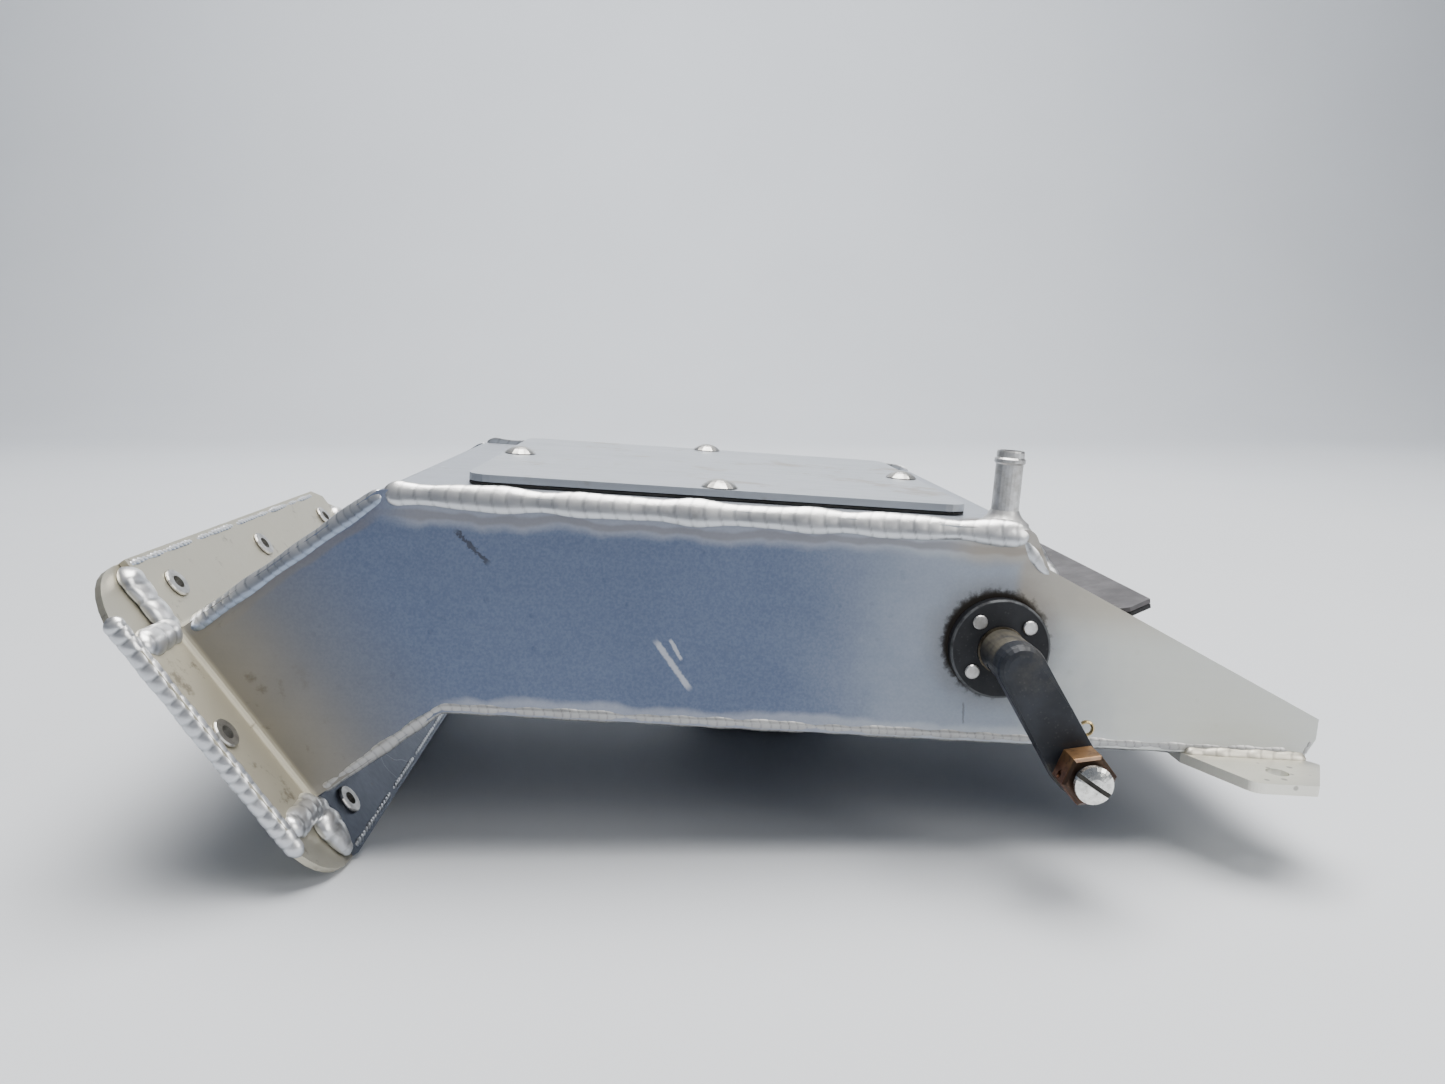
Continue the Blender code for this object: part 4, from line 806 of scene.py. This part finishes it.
# The second colour of each weld is its painted shade side
WELD = weld_finish("weld metal", (0.84, 0.84, 0.84), (0.27, 0.32, 0.41))
WELD_BRIGHT = weld_finish("bright weld metal", (0.88, 0.87, 0.85), (0.56, 0.58, 0.61))
WELD_DULL = weld_finish("dull weld metal", (0.74, 0.73, 0.71), (0.38, 0.38, 0.38), rough=0.38)
WELD_TAN = weld_finish("heat tinted weld metal", (0.78, 0.74, 0.64), (0.56, 0.52, 0.43), rough=0.40)
BLACK = black_finish("black oxide")
SHAFT = plain_metal("shaft steel", (0.10, 0.085, 0.06), (0.24, 0.21, 0.16), 0.34)
STEEL = plain_metal("bright steel", (0.42, 0.41, 0.39), (0.66, 0.65, 0.62), 0.28)
RIVET = plain_metal("rivet metal", (0.46, 0.45, 0.43), (0.66, 0.66, 0.66), 0.34)

give(SHEET_BARE, "far_side_plate", "inlet_frame", "outlet_neck")
# Painted shade: the bottom plate gets a dark bluish sheet for the shadow under the box
give(bare_sheet("painted shade sheet", dark=(0.075, 0.09, 0.125), light=(0.15, 0.17, 0.21)), "bottom_plate")
# Painted light: the tabs' sheet made pale for their brightly lit faces
give(bare_sheet("painted light tab sheet", dark=(0.70, 0.69, 0.62), light=(0.86, 0.85, 0.77)), "near_tab", "far_tab")
give(bare_sheet("near plate sheet", extra=near_marks, rough=(0.56, 0.64)), "near_side_plate")
give(bare_sheet("top plate sheet", extra=top_marks), "top_plate")
give(plain_metal("nipple metal", (0.44, 0.43, 0.41), (0.68, 0.68, 0.68), 0.30), "hose_nipple")
give(lid_finish(), "access_lid")
give(rubber_finish("gasket rubber", (0.008, 0.008, 0.008)), "lid_gasket")
give(rubber_finish("seal rubber", (0.006, 0.006, 0.007)), "door_seal")
give(door_finish("door paint", (0.050, 0.046, 0.048), (0.100, 0.093, 0.096), 0.40), "air_door")
LEVER_BLACK = black_finish("lever black, rubbing and highlight", (0.015, 0.0175, 0.023), (0.15, 0.135, 0.10), lever_wear_and_highlight)
give(LEVER_BLACK, "control_lever")
give(black_finish("disc black", lit_and_worn_tone=(0.09, 0.095, 0.10), wear_and_highlight=disc_rim_highlight, rough=0.5), "near_bearing")
give(BLACK, "far_bearing", "shaft_collar", "clamp_washer", "clamp_collar")
give(clamp_finish(), "cable_clamp")
give(bolt_finish(), "clamp_bolt")
give(plain_metal("brass wire", (0.42, 0.31, 0.14), (0.72, 0.58, 0.32), 0.24), "cotter_pin")
STEEL_PIECES = ("lid_screw", "lid_nut", "flange_insert", "door_screw")
give(STEEL, *(name for name in NODES if name.startswith(STEEL_PIECES)))
give(SHAFT, "door_shaft", "thrust_washer")
give(STEEL, "collar_set_screw", "lever_set_screw", "clamp_nut")
give(RIVET, *(name for name in NODES if "_rivet_" in name))


# ---------------------------------------------------------------- weld beads


def side_path(points, y):
    """Points (x, z) on a side plate's plane at y."""
    points = np.asarray(points, float)
    return np.stack((points[:, 0], np.full(len(points), y), points[:, 1]), axis=1)


# What makes each bead: its section's width and height, the distance between its ripples, their depth as a
# share of its size, how far they lean, how uneven it is, and how long its tapered ends are
SLOPE_SEAM = dict(width=0.0052, height=0.0022, pitch=0.0030, ripple=0.09, wander=0.05, fade=0.004)
TOP_SEAM = dict(width=0.0070, height=0.0024, pitch=0.0042, ripple=0.06, wander=0.07, fade=0.005)
WRAP_SEAM = dict(width=0.0058, height=0.0019, pitch=0.0042, ripple=0.04, wander=0.03, fade=0.009)
LOW_SEAM = dict(width=0.0040, height=0.0018, pitch=0.0026, ripple=0.07, wander=0.03, fade=0.003)
TIP_SEAM = dict(width=0.0026, height=0.0013, pitch=0.0022, ripple=0.3)
RIM_BEAD = dict(width=0.0054, height=0.0025, pitch=0.0038, ripple=0.22, lean=0.20, wander=0.02, fade=0.003)
EDGE_BEAD = dict(width=0.0038, height=0.0017, pitch=0.0026, ripple=0.35, wander=0.05, fade=0.003)
CHAIN = dict(width=0.0092, height=0.0050, pitch=0.0056, ripple=0.20, wander=0.09)
END_CHAIN = dict(width=0.0084, height=0.0044, pitch=0.0054, ripple=0.20, wander=0.07)
TAB_BEAD = dict(width=0.0042, height=0.0019, pitch=0.0044, ripple=0.08, wander=0.08)
NECK_BEAD = dict(width=0.0042, height=0.0018, pitch=0.0032, ripple=0.3, wander=0.05)

DOWN = np.array((0.0, -0.0014))  # from the top sheet's face to the middle of its seam
ACROSS = UP_FLANGE * -0.0012  # the same on the slope
OFF_FOLD = DOWN_SLOPE * 0.003  # from a flange fold back up the slope to the seam's end
TIP = np.array(TIP_TOP)
LIP_POINT = np.array(LIP)


def top_seams(y, side, label):
    """The seams along the slope and the top, and the one that wraps round the corner and down the lip."""
    bend = corner_arc(TOP_FOLD, (TOP_BEND_X, TOP_Z), (TOP_END_X, TOP_Z), 0.005)
    nose = corner_arc((TOP_BEND_X, TOP_Z), (TOP_END_X, TOP_Z), LIP, 0.0035)
    slope = side_path(path_of([TOP_FOLD - OFF_FOLD], bend[:5]) + ACROSS, y)
    bead(f"{label}_slope_seam", slope, (-0.30, side, 0.50), WELD, 11, **SLOPE_SEAM)
    shift = path_of(np.broadcast_to(ACROSS, (4, 2)), np.broadcast_to(DOWN, (4, 2)))
    top = side_path(path_of(bend[4:], nose[:4]) + shift, y)
    bead(f"{label}_top_seam", top, (0.0, side, 0.42), WELD_BRIGHT, 12, **TOP_SEAM)
    corner = nose[2:] + (-0.0022, -0.0012)
    lip = LIP_POINT + (-0.0018, 0.001)
    beyond = LIP_POINT + unit(TIP - LIP_POINT) * 0.004 + (-0.0006, -0.0006)
    wrap = side_path(path_of(corner, [lip], [beyond]), y)
    bead(f"{label}_wrap_seam", wrap, (0.35, side, 0.15), WELD_BRIGHT, 15, **WRAP_SEAM)


def low_seams(y, side, label):
    """The seam along the bottom sheet, and the small one at the tip."""
    bend = corner_arc((TIP_BOTTOM_X, BOTTOM_Z), (BOTTOM_BEND_X, BOTTOM_Z), BOTTOM_FOLD, 0.005)
    low = path_of([(TIP_BOTTOM_X - 0.004, BOTTOM_Z)], bend, [BOTTOM_FOLD - OFF_FOLD]) - DOWN * 0.8
    bead(f"{label}_bottom_seam", side_path(low, y), (0.0, side, -0.25), WELD_DULL, 13, **LOW_SEAM)
    middle = (TIP_BOTTOM_X, BOTTOM_Z + 0.0005)
    tip = side_path([(TIP_BOTTOM_X - 0.003, BOTTOM_Z), middle, (TIP_LOW[0] - 0.0008, TIP_LOW[1])], y)
    bead(f"{label}_tip_seam", tip, (0.6, side * 0.7, -0.5), WELD_DULL, 14, **TIP_SEAM)


def box_beads(side, label):
    """The seams of one side plate with the top and bottom sheets."""
    y = side * (SIDE_Y - 0.0010)
    top_seams(y, side, label)
    low_seams(y, side, label)


def flange_rim(u_sign, label):
    """The heavy bead round the rim of the flange, where its strips meet the front frame."""
    low, high = FLANGE_BOTTOM_V + 0.0125, FLANGE_TOP_V - 0.0125
    if u_sign > 0:
        low, high = FLANGE_BOTTOM_V + CLIP_DOWN + 0.001, FLANGE_TOP_V - CLIP_DOWN - 0.001
    v = np.linspace(low, high, 40)
    path = on_flange(np.full_like(v, u_sign * (FLANGE_Y - 0.0009)), v, -0.0021)
    outward = on_flange(u_sign * 0.0100, 0.0, 0.0030) - on_flange(0.0, 0.0, 0.0)
    bead(f"{label}_flange_bead", path, outward, WELD_BRIGHT, 21, **RIM_BEAD)


def flange_long_beads():
    """Finer beads along the flange's top and bottom edges."""
    for label, v_edge, sign in (("top", FLANGE_TOP_V, 1), ("bottom", FLANGE_BOTTOM_V, -1)):
        u = np.linspace(-FLANGE_Y + 0.024, FLANGE_Y - CLIP_ALONG - 0.001, 60)
        path = on_flange(u, v_edge - sign * 0.0012, -0.0014)
        outward = on_flange(0.0, sign * 0.008, 0.006) - on_flange(0.0, 0.0, 0.0)
        bead(f"{label}_flange_edge_bead", path, outward, WELD, 22, **EDGE_BEAD)


def corner_chains():
    """Chains of big bright blobs along the strips' ends, where the bare corner of the front frame shows."""
    half = INLET_HEIGHT / 2
    outward = on_flange(0.0, 0.0, 0.01) - on_flange(0.0, 0.0, 0.0)
    share = np.linspace(0, 1, 24)
    for label, side in (("near", -1), ("far", 1)):
        for edge, sign, v_edge in (("top", 1, FLANGE_TOP_V), ("bottom", -1, FLANGE_BOTTOM_V)):
            seed = sign + 5 * side
            reach = v_edge - sign * (0.0015 if side < 0 else CLIP_DOWN * 0.62)
            v = sign * (half - 0.0015) * (1 - share) + reach * share
            rows = on_flange(np.full_like(v, side * (SIDE_Y + 0.0002)), v, -0.0012)
            bead(f"{label}_{edge}_chain", rows, outward, WELD_BRIGHT, 23 + seed, **CHAIN)
            u = side * ((SIDE_Y - 0.001) * (1 - share) + (FLANGE_Y - 0.0015) * share)
            rows = on_flange(u, np.full_like(u, sign * (half + 0.0008)), -0.0006)
            bead(f"{label}_{edge}_end_chain", rows, outward, WELD_BRIGHT, 61 + seed, **END_CHAIN)


def nipple_cone():
    """The weld fillet round the foot of the nipple: a turned profile whose foot is ragged with ripples."""
    turns = np.linspace(0, 2 * math.pi, 97)[:-1]
    heights = np.array((-0.0003, 0.0004, 0.0011, 0.0020, 0.0031, 0.0040))
    radii = np.array((0.0071, 0.0069, 0.0060, 0.0051, 0.0045, 0.00405))
    ripple = 1 + 0.07 * np.abs(np.sin(turns * 6)) + 0.03 * np.sin(turns * 2 + 1)
    radius = NIPPLE_RADIUS + (radii - NIPPLE_RADIUS)[:, None] * ripple[None, :]
    x = NIPPLE[0] + radius * np.cos(turns)
    y = NIPPLE[1] + radius * np.sin(turns)
    z = TOP_Z + np.broadcast_to(heights[:, None], x.shape)
    grid_piece("nipple_weld", np.stack((x, y, z), axis=-1), WELD_DULL, "housing")


def tab_beads():
    """The wide pale tan seams between the tabs and the box."""
    for label, side in (("near", -1), ("far", 1)):
        x = np.linspace(0.1400, 0.1765, 30)
        y = np.full_like(x, side * (SIDE_Y + 0.0004))
        path = np.stack((x, y, np.full_like(x, BOTTOM_Z - 0.0001)), axis=1)
        bead(f"{label}_tab_bead", path, (0, side * 0.8, 0.45), WELD_TAN, 41 + side, **TAB_BEAD)


def neck_bead():
    """The seam round the outlet neck under the box."""
    turns = np.linspace(0, 2 * math.pi, 120)
    radius = NECK_RADIUS + 0.0006
    x = NECK_X + radius * np.cos(turns)
    y = NECK_Y + radius * np.sin(turns)
    path = np.stack((x, y, np.full_like(turns, BOTTOM_Z - 0.0006)), axis=1)
    outward = np.stack((np.cos(turns), np.sin(turns), np.full_like(turns, -0.8)), axis=1)
    bead("neck_bead", path, outward, WELD_DULL, 51, **NECK_BEAD)


box_beads(-1, "near")
box_beads(1, "far")
flange_rim(-1, "near")
flange_rim(1, "far")
flange_long_beads()
corner_chains()
nipple_cone()
tab_beads()
neck_bead()


# ---------------------------------------------------------------- floor, light and camera


FLOOR_FRONT, FLOOR_BACK = -2.5, 1.6
WALL_RADIUS = 0.8
WALL_TOP = 4.0


def backdrop():
    """A pale floor that runs back and curves up into a wall, as one sheet."""
    work = Finish("pale floor")
    cloud = work.noise(work.coords, 3.0, 3.0)
    finish = work.surface(work.mix(cloud, (0.60, 0.62, 0.65), (0.66, 0.68, 0.71)), 0.7, 0.0)
    bend = np.linspace(0.1, math.pi / 2, 12)
    floor = np.linspace(FLOOR_FRONT, FLOOR_BACK, 12)
    depth = np.concatenate((floor, FLOOR_BACK + WALL_RADIUS * np.sin(bend), [FLOOR_BACK + WALL_RADIUS]))
    rise = np.concatenate((np.zeros(12), WALL_RADIUS - WALL_RADIUS * np.cos(bend), [WALL_TOP]))
    wide = np.linspace(-4, 4, 9)
    grid = np.stack(np.broadcast_arrays(wide[None, :], depth[:, None], rise[:, None]), axis=-1)
    mesh = bpy.data.meshes.new("backdrop")
    mesh.from_pydata(grid.reshape(-1, 3).tolist(), [], grid_faces(len(depth), len(wide), False))
    mesh.shade_smooth()
    mesh.materials.append(finish)
    obj = bpy.data.objects.new("backdrop", mesh)
    bpy.context.scene.collection.objects.link(obj)


def soft_light(name, place, target, size, power, colour):
    """A rectangular lamp at a place, facing a target."""
    lamp = bpy.data.lights.new(name, "AREA")
    lamp.shape = "RECTANGLE"
    lamp.size, lamp.size_y = size
    lamp.energy = power
    lamp.color = colour
    obj = bpy.data.objects.new(name, lamp)
    obj.location = place
    aim = Vector(target) - Vector(place)
    obj.rotation_euler = aim.to_track_quat("-Z", "Y").to_euler()
    bpy.context.scene.collection.objects.link(obj)


def studio():
    """A dim bluish surrounding, and lamps above, to the right and on the wall behind."""
    world = bpy.data.worlds.new("studio")
    world.use_nodes = True
    world.node_tree.nodes["Background"].inputs["Color"].default_value = (0.62, 0.68, 0.80, 1)
    world.node_tree.nodes["Background"].inputs["Strength"].default_value = 0.28
    bpy.context.scene.world = world
    soft_light("overhead", (0.15, 0.1, 1.5), (0, 0, 0), (1.5, 1.1), 60, (1.0, 0.985, 0.96))
    soft_light("right", (1.4, -1.1, 0.9), (0.05, 0, 0.05), (0.9, 0.9), 16, (1.0, 0.985, 0.95))
    soft_light("wall", (0.0, 0.9, 1.4), (0, 2.4, 0.7), (2.4, 0.6), 40, (0.96, 0.98, 1.0))


# The camera's place and its three directions, in the duct frame
CAMERA_PLACE = (-0.01584, -0.40612, 0.07216)
CAMERA_RIGHT = (0.99678, -0.04075, 0.06903)
CAMERA_DOWN = (0.06180, -0.15786, -0.98553)
CAMERA_AHEAD = (0.05106, 0.98662, -0.15483)
FOCAL_LENGTH = 28.65


def camera():
    """A wide lens low in front of the box, looking a little down on it."""
    turn = Matrix(TURN.tolist())
    right, down, ahead = (turn @ Vector(way) for way in (CAMERA_RIGHT, CAMERA_DOWN, CAMERA_AHEAD))
    lens = bpy.data.cameras.new("camera")
    lens.lens = FOCAL_LENGTH
    lens.sensor_width = 36.0
    lens.sensor_fit = "HORIZONTAL"
    lens.clip_start = 0.01
    lens.clip_end = 20
    obj = bpy.data.objects.new("camera", lens)
    pose = Matrix((right, -down, -ahead)).transposed().to_4x4()
    pose.translation = Vector(to_world([CAMERA_PLACE])[0])
    obj.matrix_world = pose
    bpy.context.scene.collection.objects.link(obj)
    bpy.context.scene.camera = obj


backdrop()
studio()
camera()
